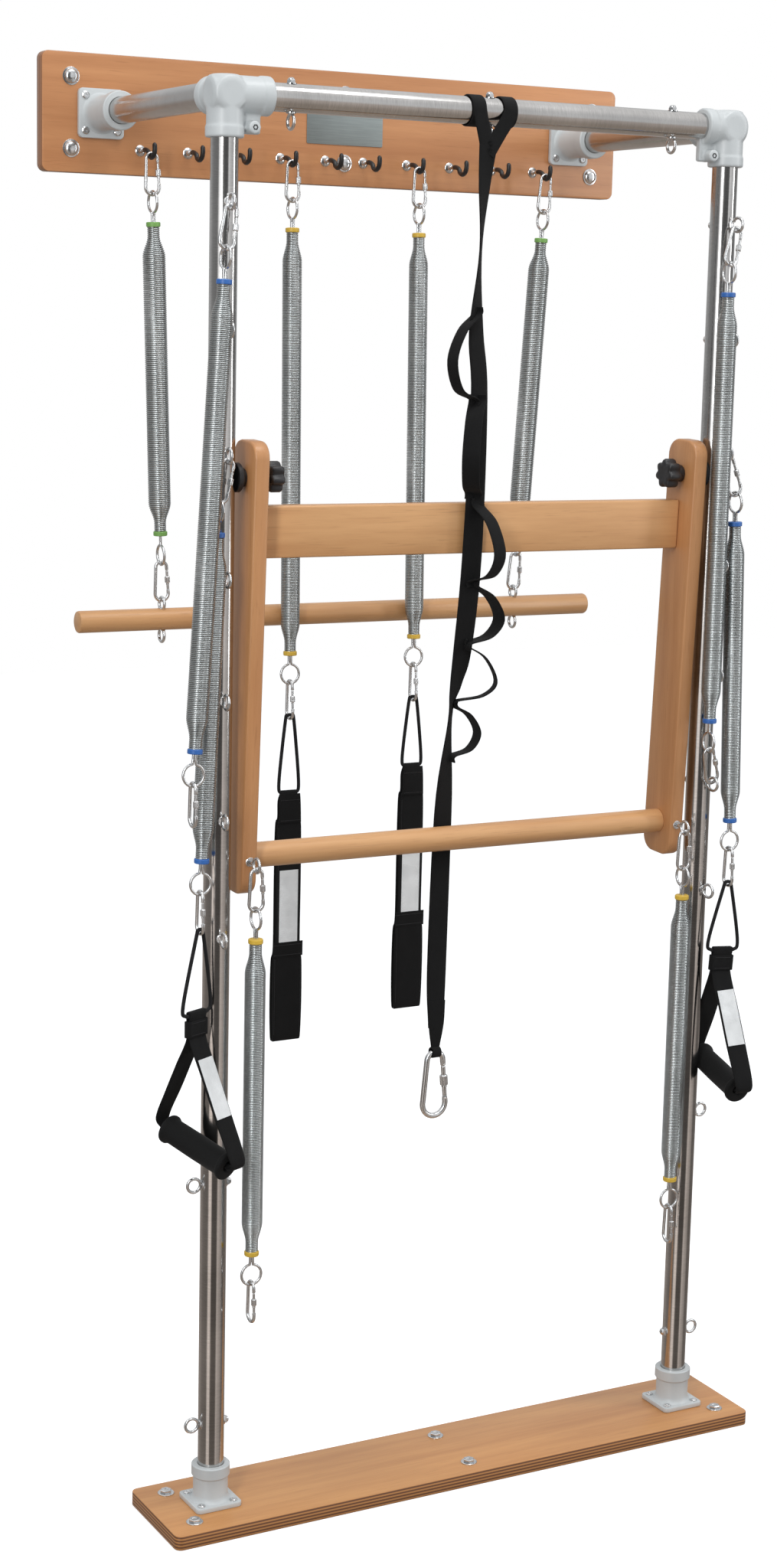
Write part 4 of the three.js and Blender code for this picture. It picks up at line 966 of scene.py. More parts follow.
def roll_down_bar():
    half = roll_length / 2
    r, end = roll_radius, roll_length
    profile = [[r - 3, 0], [r - 0.9, 0.9], [r, 3], [r, end - 3], [r - 0.9, end - 0.9], [r - 3, end]]
    bar = Shape().lathe(profile, spot(-half, roll_y, roll_z), spot(half, roll_y, roll_z), 56)
    settle(bar.piece("roll_down_rod", bar_wood), "roll_bar", "beech", "roll_down_bar")
    eyes = Shape()
    for sign in (-1, 1):
        centre = spot(sign * roll_eye_x, roll_y, roll_z)
        eyes.torus(centre + up * roll_eye_up, up, back, eye_radius, eye_wire)
        eyes.torus(centre + down * roll_eye_down, up, back, eye_radius, eye_wire)
        for direction in (up, down):
            face = centre + direction * (roll_radius - 0.6)
            eyes.lathe([[6.5, 0], [6.5, 1.2], [4, 1.6], [3, 1.6]], face, face + direction, 24)
    settle(eyes.piece("roll_eyes", zinc), "roll_bar", "zinc_steel")


roll_down_bar()

# Carabiners
link_length = 66.5
small_link = {"length": link_length, "top": 9.8, "bottom": 12, "wire": 2.75, "sleeve": 4.2}
big_link = {"length": 110, "top": 15, "bottom": 21.5, "wire": 4.7, "sleeve": 6.5}


def knurled(angle):
    return 1 + 0.035 * math.cos(22 * angle)


def carabiner(name, top, direction, normal, sizes, body, node):
    """A pear-shaped link: bent wire, a hinged gate and its knurled screw sleeve."""
    face = square_to(direction, normal)
    side = direction.cross(face)
    wire = sizes["wire"]
    upper = top + direction * sizes["top"]
    lower = top + direction * (sizes["length"] - sizes["bottom"])
    gate_top = upper + side * sizes["top"]
    gate_end = lower + side * sizes["bottom"]
    arc = 14
    path = [gate_top.lerp(gate_end, 0.13), gate_top.lerp(gate_end, 0.06)]
    for centre, radius in ((upper, sizes["top"]), (lower, -sizes["bottom"])):
        for i in range(arc + 1):
            angle = math.pi * i / arc
            path.append(centre + side * radius * math.cos(angle) - direction * radius * math.sin(angle))
    path += [gate_top.lerp(gate_end, 0.94), gate_top.lerp(gate_end, 0.87)]
    radii = [wire] * len(path)
    radii[0] = wire * 0.86
    radii[-1] = wire * 0.92
    link = Shape().wire(path, radii, face, sides=14)
    gate = gate_end - gate_top
    run = gate.length
    on_gate = (gate_top, gate_top + gate.normalized())
    barrel = wire * 0.8
    profile = [
        [barrel * 0.8, 0.145 * run], [barrel, 0.16 * run], [barrel, 0.85 * run], [barrel * 0.8, 0.865 * run],
    ]
    link.lathe(profile, *on_gate, 16)
    sleeve = sizes["sleeve"]
    low, high = 0.36 * run, 0.6 * run
    profile = [[sleeve * 0.8, low], [sleeve, low + 1], [sleeve, high - 1], [sleeve * 0.8, high]]
    link.lathe(profile, *on_gate, 66, knurled)
    link.lathe([[barrel * 1.22, high + 1.2], [barrel * 1.22, high + 3.2]], *on_gate, 16)
    for share, radius in ((0.9, wire * 0.42), (0.1, wire * 0.34)):
        pin = gate_top.lerp(gate_end, share)
        link.rod(radius, pin - face * (wire + 0.4), pin + face * (wire + 0.4), 12, 0.2)
    settle(link.piece(name, zinc), body, "zinc_steel", node)


# Springs
ring_radius = 16.75
ring_wire = 2.25
ring_to_collar = 36.05
collar_half = 4
collar_outside = 11.75
coil_neck = 10.2
neck_run = 18
taper_end = 52
green_outside, green_wire = 19, 3.0
plain_outside, plain_wire = 16.75, 2.6
winding_pitch = 1.07
winding_steps = 18

# Where each spring hangs and ends
link_gap = 0.35
link_seat = small_link["wire"] + ring_wire + link_gap
eye_seat = small_link["wire"] + eye_wire + link_gap
hook_slack = 0.1
hook_seat_z = bowl_z + small_link["wire"] + hook_radius + link_gap + hook_slack
long_spring = 716
short_spring = 508
foot_x = 122
foot_rest_y = 421
foot_shares = {"left": 1, "right": 0.972}
push_shares = {"left": 0.998, "right": 0.982}
held_level = 5
# Each upright spring: its side, its eye from the top, the offsets of its knee and its far end, and its length
upright_springs = {
    "arm_spring_long_left": ("left", 0, (-15.6, -44.2), (-72, -70, 839), long_spring * 0.968),
    "hand_spring_left": ("left", 2, (-19.1, -34.9), (-43.5, -36, 647), short_spring * 0.976),
    "arm_spring_long_right": ("right", 0, (-16.3, -47.5), (-16.3, -47.5, 863), long_spring * 0.981),
    "hand_spring_right": ("right", 2, (24.8, -35.5), (43, -38, 655), short_spring * 0.992),
}


def eye_level(level):
    return eye_top - eye_pitch * level


def eye_spot(hand, level):
    """The middle of an upright's eye ring, counted from the top."""
    angle = eye_turns[hand]
    outwards = spot(hands[hand] * math.sin(angle), -math.cos(angle), 0)
    return spot(hands[hand] * upright_x, 0, eye_level(level)) + outwards * eye_reach


def upright_run(hand, level, knee, far, length):
    """A chain on an upright: its knee and far end are offsets from the upright's axis at its eye."""
    hang = eye_spot(hand, level) + down * (eye_radius - eye_seat)
    axis = spot(hands[hand] * upright_x, 0, eye_level(level))
    lateral = axis + spot(knee[0], knee[1], 0) - hang
    lateral.z = 0
    reach = link_length - link_seat
    fall = math.sqrt(reach ** 2 - lateral.length_squared)
    return hang, hang + lateral + down * fall, axis + spot(far[0], far[1], -far[2]), length


def chain_runs():
    """Each spring's hanging point, knee, far end and length."""
    roll_hook_x = hook_first + hook_pitch * (hook_count - 1)
    roll_tip = roll_z + roll_eye_up + eye_radius - eye_seat
    ends = 2 * (ring_radius + ring_to_collar) + 2 * (link_length - link_seat)
    runs = {}
    for hand, sign in hands.items():
        hang = spot(sign * roll_hook_x, bowl_y, hook_seat_z)
        far = spot(sign * roll_eye_x, roll_y, roll_tip)
        runs["roll_spring_" + hand] = (hang, far, far, (far - hang).length - ends)
        hang = spot(sign * foot_x, bowl_y, hook_seat_z)
        far = spot(sign * foot_x, foot_rest_y, roll_z)
        runs["foot_spring_" + hand] = (hang, far, far, long_spring * foot_shares[hand])
        eye = push_spot(sign * (arm_inner + arm_thick / 2), -push_eye_reach, push_bar_down)
        hang = eye + down * (eye_radius - eye_seat)
        knee = hang + down * link_length
        runs["push_spring_" + hand] = (hang, knee, knee + down, short_spring * push_shares[hand])
    for name, facts in upright_springs.items():
        runs[name] = upright_run(*facts)
    return runs


# Each spring's collar colour, the bodies of its upper end and its lower end, and how its lower link hangs
springs = {
    "roll_spring_left": ("green", "roll_springs", "roll_bar", "straight"),
    "roll_spring_right": ("green", "roll_springs", "roll_bar", "straight"),
    "foot_spring_left": ("yellow", "foot_spring_left", "foot_loop_left", "straight"),
    "foot_spring_right": ("yellow", "foot_spring_right", "foot_loop_right", "straight"),
    "arm_spring_long_left": ("blue", "arm_spring_left", "arm_spring_left_end", "plumb"),
    "hand_spring_left": ("blue", "tower", "hand_spring_left_end", "plumb"),
    "arm_spring_long_right": ("blue", "tower", "tower", "held"),
    "hand_spring_right": ("blue", "hand_spring_right", "hand_spring_right_end", "plumb"),
    "push_spring_left": ("yellow", "push_spring_left", "push_spring_left_end", "plumb"),
    "push_spring_right": ("yellow", "push_spring_right", "push_spring_right_end", "plumb"),
}
# An upper link rides with its spring's upper end, apart from the ones named here
upper_link_bodies = {"hand_spring_right": "tower"}


def end_loop(centre, direction, normal, sign):
    """A round eye of spring wire whose two tails run side by side into the collar."""
    face = square_to(direction, normal)
    side = direction.cross(face) * sign
    inwards = direction * sign
    tail, lean, open_angle, steps = 1.9, 0.9, 0.16, 30
    near_ring = ring_radius + 7
    points = [
        centre + inwards * ring_to_collar + side * tail + face * lean,
        centre + inwards * near_ring + side * tail * 0.9 + face * lean,
    ]
    for i in range(steps + 1):
        angle = open_angle + (turn - 2 * open_angle) * i / steps
        around = centre + inwards * ring_radius * math.cos(angle) + side * ring_radius * math.sin(angle)
        points.append(around + face * (lean * math.cos(math.pi * i / steps)))
    points.append(centre + inwards * near_ring - side * tail * 0.9 - face * lean)
    points.append(centre + inwards * ring_to_collar - side * tail - face * lean)
    return Shape().wire(points, ring_wire, face, sides=12)


def collar_disc(centre, direction):
    r, h = collar_outside, collar_half
    profile = [[r - 3, -h], [r - 0.8, -h + 0.3], [r, -h + 1.4], [r, h - 1.4], [r - 0.8, h - 0.3], [r - 3, h]]
    return Shape().lathe(profile, centre, centre + direction, 40)


def spring(name, run, facts):
    """A carabiner, a spring with its eyes and collars, and a carabiner; returns where the last one ends."""
    hang, knee, far, length = run
    colour, upper_body, lower_body, hanging = facts
    link_body = upper_link_bodies.get(name, upper_body)
    face_on = not name.startswith("roll") and hanging != "held"
    upper_way = (knee - hang).normalized()
    top = hang + upper_way * (link_length - link_seat)
    direction = (far - top).normalized()
    upper_ring = top + direction * ring_radius
    upper_collar = upper_ring + direction * ring_to_collar
    lower_collar = upper_collar + direction * length
    lower_ring = lower_collar + direction * ring_to_collar
    lower_top = lower_ring + direction * (ring_radius - link_seat)
    outside, wire = (green_outside, green_wire) if colour == "green" else (plain_outside, plain_wire)
    side = square_to(direction, across)
    values = {
        "Length": length, "Outside": outside, "Neck": coil_neck, "Wire": wire, "Neck Run": float(neck_run),
        "Taper End": float(taper_end), "Turns": int(length / (wire * winding_pitch)), "Steps": winding_steps,
        "Metal": spring_steel,
    }
    where = frame_at(upper_collar, side, direction.cross(side))
    coil = grown(windings, name + "_coil", values, where, soft_angle=80)
    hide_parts(name)
    if upper_body == lower_body:
        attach(coil, upper_body)
    else:
        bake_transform(coil)
    for end, ring, collar, normal, sign, body in (
        ("upper", upper_ring, upper_collar, across, 1, upper_body),
        ("lower", lower_ring, lower_collar, back if face_on else across, -1, lower_body),
    ):
        eye = end_loop(ring, direction, normal, sign)
        settle(eye.piece(f"{name}_{end}_eye", zinc), body, "zinc_steel")
        disc = collar_disc(collar, direction)
        settle(disc.piece(f"{name}_{end}_collar", collar_looks[colour]), body, "black_plastic")
    carabiner(name + "_upper_link", hang, upper_way, back, small_link, link_body, name + "_upper_carabiner")
    to_eye = (eye_spot("right", held_level) - lower_top).normalized()
    way = {"straight": direction, "plumb": down, "held": to_eye}[hanging]
    carabiner(
        name + "_lower_link", lower_top, way, across if face_on else back, small_link,
        lower_body, name + "_lower_carabiner"
    )
    return lower_top + way * link_length


runs = chain_runs()
seats = {name: spring(name, runs[name], facts) for name, facts in springs.items()}

# Webbing
web_thick = 2.6
cord_radius = 3


def ribbon(shape, stations, thick, closed=False, steps=6):
    """A flat band through stations of [point, across, half width], edges rounded, its map in millimetres."""
    places = smooth_path([Vector(s[0]) for s in stations], steps, closed)
    ways = smooth_path([Vector(s[1]) for s in stations], steps, closed)
    halves = smooth_path([Vector((s[2], 0, 0)) for s in stations], steps, closed)
    total = len(places)
    rim = 3
    section = []
    for sign in (1, -1):
        for i in range(rim + 1):
            angle = math.pi * (i / rim - 0.5 * sign)
            section.append((sign, math.cos(angle), math.sin(angle)))
        for share in (0.6, 0.2, -0.2, -0.6):
            section.append((0, share * sign, sign))
    count = len(section)
    spans = [sign + c * 0.1 if sign else c for sign, c, s in section]
    rings = []
    run = [0.0]
    for i in range(total):
        forward = heading(places, i, closed)
        way = square_to(forward, ways[i])
        face = forward.cross(way).normalized()
        flat = halves[i].x - thick / 2
        ring = []
        for sign, c, s in section:
            aside = sign * flat + c * thick / 2 if sign else c * flat
            ring.append(places[i] + way * aside + face * (s * thick / 2))
        rings.append(ring)
        run.append(run[-1] + (places[(i + 1) % total] - places[i]).length)

    def cloth(i, k):
        half = halves[i % total].x
        return (spans[k % count] * half, run[min(i, total)])

    return shape.rings(rings, closed, cloth)


def cord_path(apex, way, left_corner, right_corner):
    """The closed cord's points: over the carabiner's wire at the apex, and through the webbing below."""
    arch, shoulder, corner_share, crown_share = 8.5, 12, 0.16, 0.33

    def blend(p, q, share):
        return (p[0] + (q[0] - p[0]) * share, p[1] + (q[1] - p[1]) * share)

    left, right = (-arch, shoulder), (arch, shoulder)
    outline = [
        blend(left_corner, right_corner, 0.5), blend(left_corner, right_corner, corner_share),
        blend(left_corner, left, corner_share), left, (-arch / 2, cord_radius * crown_share),
        (arch / 2, cord_radius * crown_share), right, blend(right_corner, right, corner_share),
        blend(right_corner, left_corner, corner_share),
    ]
    return [apex + way * a + down * d for a, d in outline]


def tied_cord(name, outline, body):
    """A round cord smoothed round a closed outline, open where its two ends meet inside the webbing."""
    points = smooth_path(outline, 8, closed=True)[1:-1]
    curve = bpy.data.curves.new(name, "CURVE")
    curve.dimensions = "3D"
    curve.bevel_depth = cord_radius / metre
    curve.bevel_resolution = 4
    curve.use_fill_caps = True
    line = curve.splines.new("POLY")
    line.points.add(len(points) - 1)
    for knot, point in zip(line.points, points):
        knot.co = (*(to_row @ point), 1)
    curve.materials.append(black_cord)
    made = shown(name, curve)
    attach(made, body)


def stitch_tree():
    """Short threads along a line, alternately seen and hidden, as a lockstitch shows."""
    sizes = [("Stitch", "Float"), ("Pitch", "Float"), ("Thread", "Float")]
    tree, given = start_tree("stitches", [("Line", "Object")] + sizes + [("Look", "Material")])
    line = place(tree, "GeometryNodeObjectInfo", {"Object": given["Line"]})
    path = place(tree, "GeometryNodeMeshToCurve", {0: line.outputs["Geometry"]})
    along = {"Curve": path, "Length": given["Pitch"]}
    spaced = place(tree, "GeometryNodeCurveToPoints", along, mode="LENGTH")
    half = calc(tree, "MULTIPLY", given["Stitch"], 0.5)
    low = place(tree, "ShaderNodeCombineXYZ", {"Z": calc(tree, "MULTIPLY", half, -1.0)})
    high = place(tree, "ShaderNodeCombineXYZ", {"Z": half})
    bit = place(tree, "GeometryNodeCurvePrimitiveLine", {"Start": low, "End": high})
    section = place(tree, "GeometryNodeCurvePrimitiveCircle", {"Resolution": 5, "Radius": given["Thread"]})
    sweep = {"Curve": bit, "Profile Curve": section, "Fill Caps": True}
    solid = place(tree, "GeometryNodeCurveToMesh", sweep)
    copies = place(tree, "GeometryNodeInstanceOnPoints", {
        "Points": spaced.outputs["Points"], "Instance": solid, "Rotation": spaced.outputs["Rotation"],
    })
    close_tree(tree, copies, given["Look"])
    return tree


stitches = stitch_tree()


def sewn(name, lines, body, look=thread, stitch=2.4, pitch=3.4, radius=0.35):
    """Rows of stitches along polylines, on one body."""
    made = []
    for index, points in enumerate(lines):
        mesh = bpy.data.meshes.new(f"{name}_line_{index}")
        mesh.from_pydata([tuple(p) for p in points], [(i, i + 1) for i in range(len(points) - 1)], [])
        guide = shown(f"{name}_line_{index}", mesh)
        values = {"Line": guide, "Stitch": stitch, "Pitch": pitch, "Thread": radius, "Look": look}
        made.append(grown(stitches, f"{name}_{index}", values))
        bpy.data.objects.remove(guide)
    settle(joined(name, *made), body, "webbing")


# Foot straps
foot_base_half = 21
foot_drops = {"left": 137, "right": 124}
foot_length = 443
foot_top_half = 19
foot_body_half = 24
foot_cuff_half = 29
foot_spread = 5
foot_label_top = 137
foot_label_length = 130
foot_label_half = 18
cord_slack = 0.35
cord_seat = cord_radius + small_link["wire"] + link_gap + cord_slack


def foot_strap(hand):
    body = "foot_loop_" + hand
    apex = seats["foot_spring_" + hand] + up * cord_seat
    drop = foot_drops[hand]
    outline = cord_path(apex, across, (-foot_base_half, drop), (foot_base_half, drop))
    tied_cord(f"foot_cord_{hand}", outline, body)
    base = apex + down * drop
    wrap = cord_radius + web_thick / 4
    top = foot_top_half * 0.82
    spread, long = foot_spread, foot_length
    side = [
        (0, -wrap, top), (-wrap, 2, top), (-spread * 0.9, 16, foot_top_half), (-spread, 44, foot_top_half),
        (-spread, 60, foot_body_half - 1), (-spread, long * 0.35, foot_body_half),
        (-spread, long * 0.62, foot_body_half), (-spread, long * 0.68, foot_cuff_half - 1),
        (-spread, long * 0.85, foot_cuff_half), (-spread * 0.9, long - 5, foot_cuff_half - 1.5),
        (0, long, foot_cuff_half - 2.5),
    ]
    mirrored = [(-y, fall, half) for y, fall, half in side[1:-1]][::-1]
    stations = [(base + back * y + down * fall, across, half) for y, fall, half in side + mirrored]
    strap = ribbon(Shape(), stations, web_thick, closed=True).piece(f"foot_webbing_{hand}", webbing, 60)
    settle(strap, body, "webbing", "foot_strap_" + hand)

    def flat_band(name, stations, thick, look=webbing):
        settle(ribbon(Shape(), stations, thick).piece(f"{name}_{hand}", look, 60), body, "webbing")

    cuff_face = base + front * (spread + web_thick * 0.62)
    stations = [(cuff_face + down * (long * share), across, foot_cuff_half) for share in (0.6, 0.64, 0.66)]
    flat_band("foot_cuff_band", stations, 1.2)
    wide = foot_top_half + 1.2
    stations = [
        (base + front * (spread + out) + down * fall, across, wide + more)
        for out, fall, more in ((1.1, 1, -0.6), (2.4, 14, 0), (2.7, 30, 0.6), (2.4, 52, 1.4))
    ]
    flat_band("foot_top_band", stations, 1.6)
    half_run = foot_label_length / 2
    label_fall = down * (foot_label_top + half_run)
    middle = base + front * (spread + web_thick / 2 + 0.35) + label_fall
    stations = [(middle + up * rise, across, foot_label_half) for rise in (half_run, 0, -half_run)]
    flat_band("foot_label", stations, 0.7, label_cloth)

    def seam(face, start, end):
        """A line on a face, between two [aside, fall] places."""
        return [base + face + across * aside + down * fall for aside, fall in (start, end)]

    lift = spread + web_thick / 2 + 0.3
    edges = ((foot_body_half - 3, 62, long * 0.6), (foot_cuff_half - 4, long * 0.67, long - 12))
    lines = []
    for sign in (-1, 1):
        for aside, high, low in edges:
            lines.append(seam(front * lift, (sign * aside, high), (sign * aside, low)))
    lines += [[p - front * lift + back * lift for p in line] for line in lines]
    band_lift, cuff_lift = spread + 3.6, spread + web_thick * 0.62 + 0.8
    for lift, aside, fall in (
        (band_lift, wide - 3, 12), (band_lift, wide - 3, 48),
        (cuff_lift, foot_cuff_half - 3, long * 0.612), (cuff_lift, foot_cuff_half - 3, long * 0.652),
    ):
        lines.append(seam(front * lift, (-aside, fall), (aside, fall)))
    sewn(f"foot_stitching_{hand}", lines, body)
    hem = 1.6
    centre = base + front * (spread + web_thick / 2 + 0.85) + label_fall
    corners = [
        centre + across * x * (foot_label_half - hem) + up * z * (half_run - hem)
        for x, z in ((1, 1), (-1, 1), (-1, -1), (1, -1), (1, 1))
    ]
    sewn(f"foot_label_stitching_{hand}", [corners], body, label_cloth, 1.8, 2.6, 0.22)


for each_hand in hands:
    foot_strap(each_hand)

# Hand straps and grips
hand_yaws = {"left": math.radians(-66), "right": math.radians(-94)}
hand_corners = {"left": ((-42, 131), (29, 131)), "right": ((-38, 117), (28, 121))}
grip_drops = {"left": 347, "right": 338}
grip_tilts = {"left": math.radians(16), "right": math.radians(13)}
grip_half = 65
grip_radius = 20
grip_flare = 23.5
grip_flare_run = 9
grip_bore = 9
web_half = 19
web_pinch = 2.2
web_bend = 16
stitch_run = 36
hand_label_length = 96
hand_label_half = 16.5
hand_label_share = 0.41


def hand_strap(hand):
    body = "handle_" + hand
    yaw = hand_yaws[hand]
    near = spot(math.cos(yaw), math.sin(yaw), 0)
    way = spot(-near.y, near.x, 0)
    apex = seats["hand_spring_" + hand] + up * cord_seat
    left, right = hand_corners[hand]
    tied_cord(f"hand_cord_{hand}", cord_path(apex, way, left, right), body)
    low_left = apex + way * left[0] + down * left[1]
    low_right = apex + way * right[0] + down * right[1]
    base_axis = (low_right - low_left).normalized()
    base = (low_left + low_right) / 2
    middle = apex + down * grip_drops[hand]
    tilt = grip_tilts[hand]
    grip_axis = near * math.cos(tilt) - up * math.sin(tilt)
    near_end = middle + grip_axis * grip_half
    far_end = middle - grip_axis * grip_half
    wrap = cord_radius + web_thick / 4
    fall = near.cross(base_axis).normalized()
    if fall.z > 0:
        fall = -fall
    stitched = base + fall * stitch_run
    grip_down = square_to(grip_axis, down)
    grip_across = grip_axis.cross(grip_down).normalized()
    if grip_across.dot(base_axis) < 0:
        grip_across = -grip_across

    def leg(sign, end):
        outside = end + grip_axis * sign * web_bend
        shoulder = outside - grip_down * web_bend
        pinched = stitched + near * sign * web_pinch
        return [
            (base + near * sign * wrap, base_axis, web_half),
            (pinched, base_axis, web_half),
            (pinched.lerp(shoulder, 0.33), (base_axis * 2 + grip_across).normalized(), web_half),
            (pinched.lerp(shoulder, 0.66), (base_axis + grip_across * 2).normalized(), web_half),
            (shoulder, grip_across, web_half * 0.86),
            (end + grip_axis * sign * 7, grip_across, 9.6),
            (end - grip_axis * sign * 8, grip_across, 7.2),
        ]

    loop = [(base - fall * wrap, base_axis, web_half)] + leg(1, near_end) + leg(-1, far_end)[::-1]
    strap = ribbon(Shape(), loop, web_thick, closed=True)
    settle(strap.piece(f"hand_webbing_{hand}", webbing, 60), body, "webbing", "hand_strap_" + hand)
    keeper_middle = base + fall * (stitch_run * 0.62)
    reach = web_half + 1.8
    thick = 4.6
    shares = (-1, -0.5, 0, 0.5, 1)
    ring = []
    for a, b in [(a, -1) for a in shares] + [(a, 1) for a in reversed(shares)]:
        ring.append((keeper_middle + base_axis * reach * a + near * thick * b, fall, 13))
    keeper = ribbon(Shape(), ring, 1.3, closed=True, steps=4)
    settle(keeper.piece(f"hand_keeper_{hand}", webbing, 60), body, "webbing")
    start = stitched + near * web_pinch
    end = near_end + grip_axis * web_bend - grip_down * web_bend
    run = (end - start).normalized()
    plane_way = square_to(run, (base_axis + grip_across).normalized())
    outwards = plane_way.cross(run)
    if outwards.dot(near) < 0:
        outwards = -outwards
    centre = start.lerp(end, hand_label_share) + outwards * (web_thick / 2 + 0.9)
    stations = []
    for share in (-0.5, -0.2, 0.1, 0.5):
        turned_by = hand_label_share + share * 0.6
        twist = (base_axis * (1 - turned_by) + grip_across * turned_by).normalized()
        stations.append((centre + run * hand_label_length * share, twist, hand_label_half))
    label = ribbon(Shape(), stations, 0.7)
    settle(label.piece(f"hand_label_{hand}", label_cloth, 60), body, "webbing")
    bore, flare, core = grip_bore, grip_flare, 2 * grip_half
    profile = [
        [bore, 3], [bore + 1, 0.6], [bore + 3, 0], [flare - 3, 0], [flare - 0.8, 0.9], [flare, 2.8],
        [flare, 6], [flare - 1, 8], [grip_radius, grip_flare_run + 3], [grip_radius + 0.5, core / 2],
        [grip_radius, core - grip_flare_run - 3], [flare - 1, core - 8], [flare, core - 6],
        [flare, core - 2.8], [flare - 0.8, core - 0.9], [flare - 3, core], [bore + 3, core],
        [bore + 1, core - 0.6], [bore, core - 3],
    ]
    turned = lathe_rings(profile, far_end, grip_axis, square_to(grip_axis, up), 44)
    grip = Shape().rings(turned, closed=True)
    piece = grip.piece(f"grip_foam_{hand}", foam, 50)
    settle(piece, "grip_" + hand, "foam", "hand_grip_" + hand)
    lines = []
    for sign in (-1, 1):
        face = near * sign * (thick + 0.9)
        for drop in (-9.5, 9.5):
            p = keeper_middle + face + fall * drop
            lines.append([p - base_axis * (web_half - 2), p + base_axis * (web_half - 2)])
    sewn(f"hand_stitching_{hand}", lines, body)


for each_hand in hands:
    hand_strap(each_hand)

# Loop strap
strap_half = 18
strap_thick = 2.4
wrap_inner = tube_radius + 0.95
wrap_half = 12
wrap_xs = (-30, 26)
strap_front = wrap_inner + strap_thick / 2
strap_link = spot(-24, 51, 687)
fold_inner = big_link["wire"] + 2.2
strap_path = [
    (-13.7, -strap_front, 2154.6, 0, 16), (-18, -22, 2090, 25, 15), (-20.3, -20, 1993.6, 55, 14),
    (-22.9, -17.3, 1869.5, 22, strap_half), (-12.6, -15, 1765.3, 14, strap_half),
    (-14, -8, 1515, 0, strap_half), (-11.6, 18, 1363, 6, strap_half), (-12.8, 34, 1303, 30, strap_half),
    (-15.2, 46, 1245.7, 52, strap_half), (-21, 51, 1090, 8, strap_half), (-25.5, 51, 832, 0, strap_half),
    (-24, 51, 730, 0, 14.4),
]
# Each sewn loop: its x, its y and z at top and bottom, its bulge and bearing, its sag and its half width
sewn_loops = [
    (-24, (-19.5, -17), (1895, 1765), 54, 200, 5, 11), (-18, (-18, -14), (1760, 1618), 46, 232, 12, 14),
    (-8, (-13, -6), (1598, 1478), 52, -72, 14, 14), (-6, (0, 16), (1470, 1375), 66, 12, 10, 14),
    (-6, (18, 43), (1372, 1278), 62, -12, 16, 8.8), (-6, (48, 52), (1268, 1186), 50, 8, 6, 11),
]


def loop_strap():
    whole = Shape()
    stations = []
    for x, y, z, yaw, half in strap_path:
        angle = math.radians(yaw)
        stations.append((spot(x, y, z), spot(math.cos(angle), math.sin(angle), 0), half))
    ribbon(whole, stations, strap_thick)
    join_x = strap_path[0][0]
    over = -strap_front - 0.4
    for x in wrap_xs:
        ring = []
        for i in range(12):
            angle = turn * i / 12
            point = spot(x, -strap_front * math.cos(angle), crossbar_z + strap_front * math.sin(angle))
            ring.append((point, across, wrap_half))
        ribbon(whole, ring, strap_thick, closed=True, steps=4)
        leg = (
            spot(x, over, crossbar_z), spot(x * 0.8 + join_x * 0.2, over, 2190),
            spot((x + join_x) / 2, over, 2172), spot(join_x, -strap_front, 2140),
        )
        ribbon(whole, [(point, across, wrap_half) for point in leg], strap_thick)
    for x, (y_top, y_bottom), (top, bottom), bulge, yaw, sag, half in sewn_loops:
        middle = (top + bottom) / 2 - sag
        away = spot(math.cos(math.radians(yaw)), math.sin(math.radians(yaw)), 0)
        beside = spot(-away.y, away.x, 0)
        outline = [
            (-1.5, top + 12), (0, top), (bulge * 0.6, top - (top - middle) * 0.35), (bulge, middle),
            (bulge * 0.7, bottom + (middle - bottom) * 0.25), (0, bottom), (-1.5, bottom - 10),
        ]
        stations = []
        for out, z in outline:
            y = y_top + (y_bottom - y_top) * (top - z) / (top - bottom)
            stations.append((spot(x, y, z) + away * out, beside, half))
        ribbon(whole, stations, strap_thick * 0.85)
    radius = fold_inner + strap_thick / 2
    fold = [(point, across, 8) for point in circle(strap_link, up, back, radius, 12)]
    ribbon(whole, fold, strap_thick, closed=True, steps=4)
    hem_y = strap_link.y - 1.4
    tail = [
        (spot(strap_link.x, hem_y, 775), across, 16), (spot(strap_link.x, hem_y, 735), across, 14.4),
        (strap_link + up * radius, across, 8),
    ]
    ribbon(whole, tail, strap_thick)
    settle(whole.piece("loop_strap_webbing", webbing, 60), "loop_strap", "webbing", "loop_strap")
    carabiner("strap_end_link", strap_link, down, back, big_link, "strap_end", "strap_carabiner")


loop_strap()

# Floor, backdrop light and lamps
floor_z = -(crossbar_z + board_thick) / metre
backdrop = 1.0
floor_lift = 0.5
floor_bounce = 0.28
floor_reach = 9


def mix_shader(tree, factor, first, second):
    return place(tree, "ShaderNodeMixShader", {0: factor, 1: first, 2: second})


def plain_floor():
    mesh = bpy.data.meshes.new("studio_floor")
    corners = [(x * floor_reach, y * floor_reach, floor_z) for x, y in ((-1, -1), (1, -1), (1, 1), (-1, 1))]
    mesh.from_pydata(corners, [], [(0, 1, 2, 3)])
    material = bpy.data.materials.new("studio_floor")
    material.use_nodes = True
    tree = material.node_tree
    tree.nodes.clear()
    matte = place(tree, "ShaderNodeBsdfDiffuse", {"Color": grey(0.86)})
    glow = place(tree, "ShaderNodeEmission", {"Color": full_light, "Strength": floor_lift})
    both = place(tree, "ShaderNodeAddShader", {0: matte, 1: glow})
    dim = place(tree, "ShaderNodeBsdfDiffuse", {"Color": grey(floor_bounce)})
    clear = place(tree, "ShaderNodeBsdfTransparent")
    ray = place(tree, "ShaderNodeLightPath")
    other = mix_shader(tree, ray.outputs["Is Glossy Ray"], dim, clear)
    blend = mix_shader(tree, ray.outputs["Is Camera Ray"], other, both)
    place(tree, "ShaderNodeOutputMaterial", {"Surface": blend})
    mesh.materials.append(material)
    shown("studio_floor", mesh)


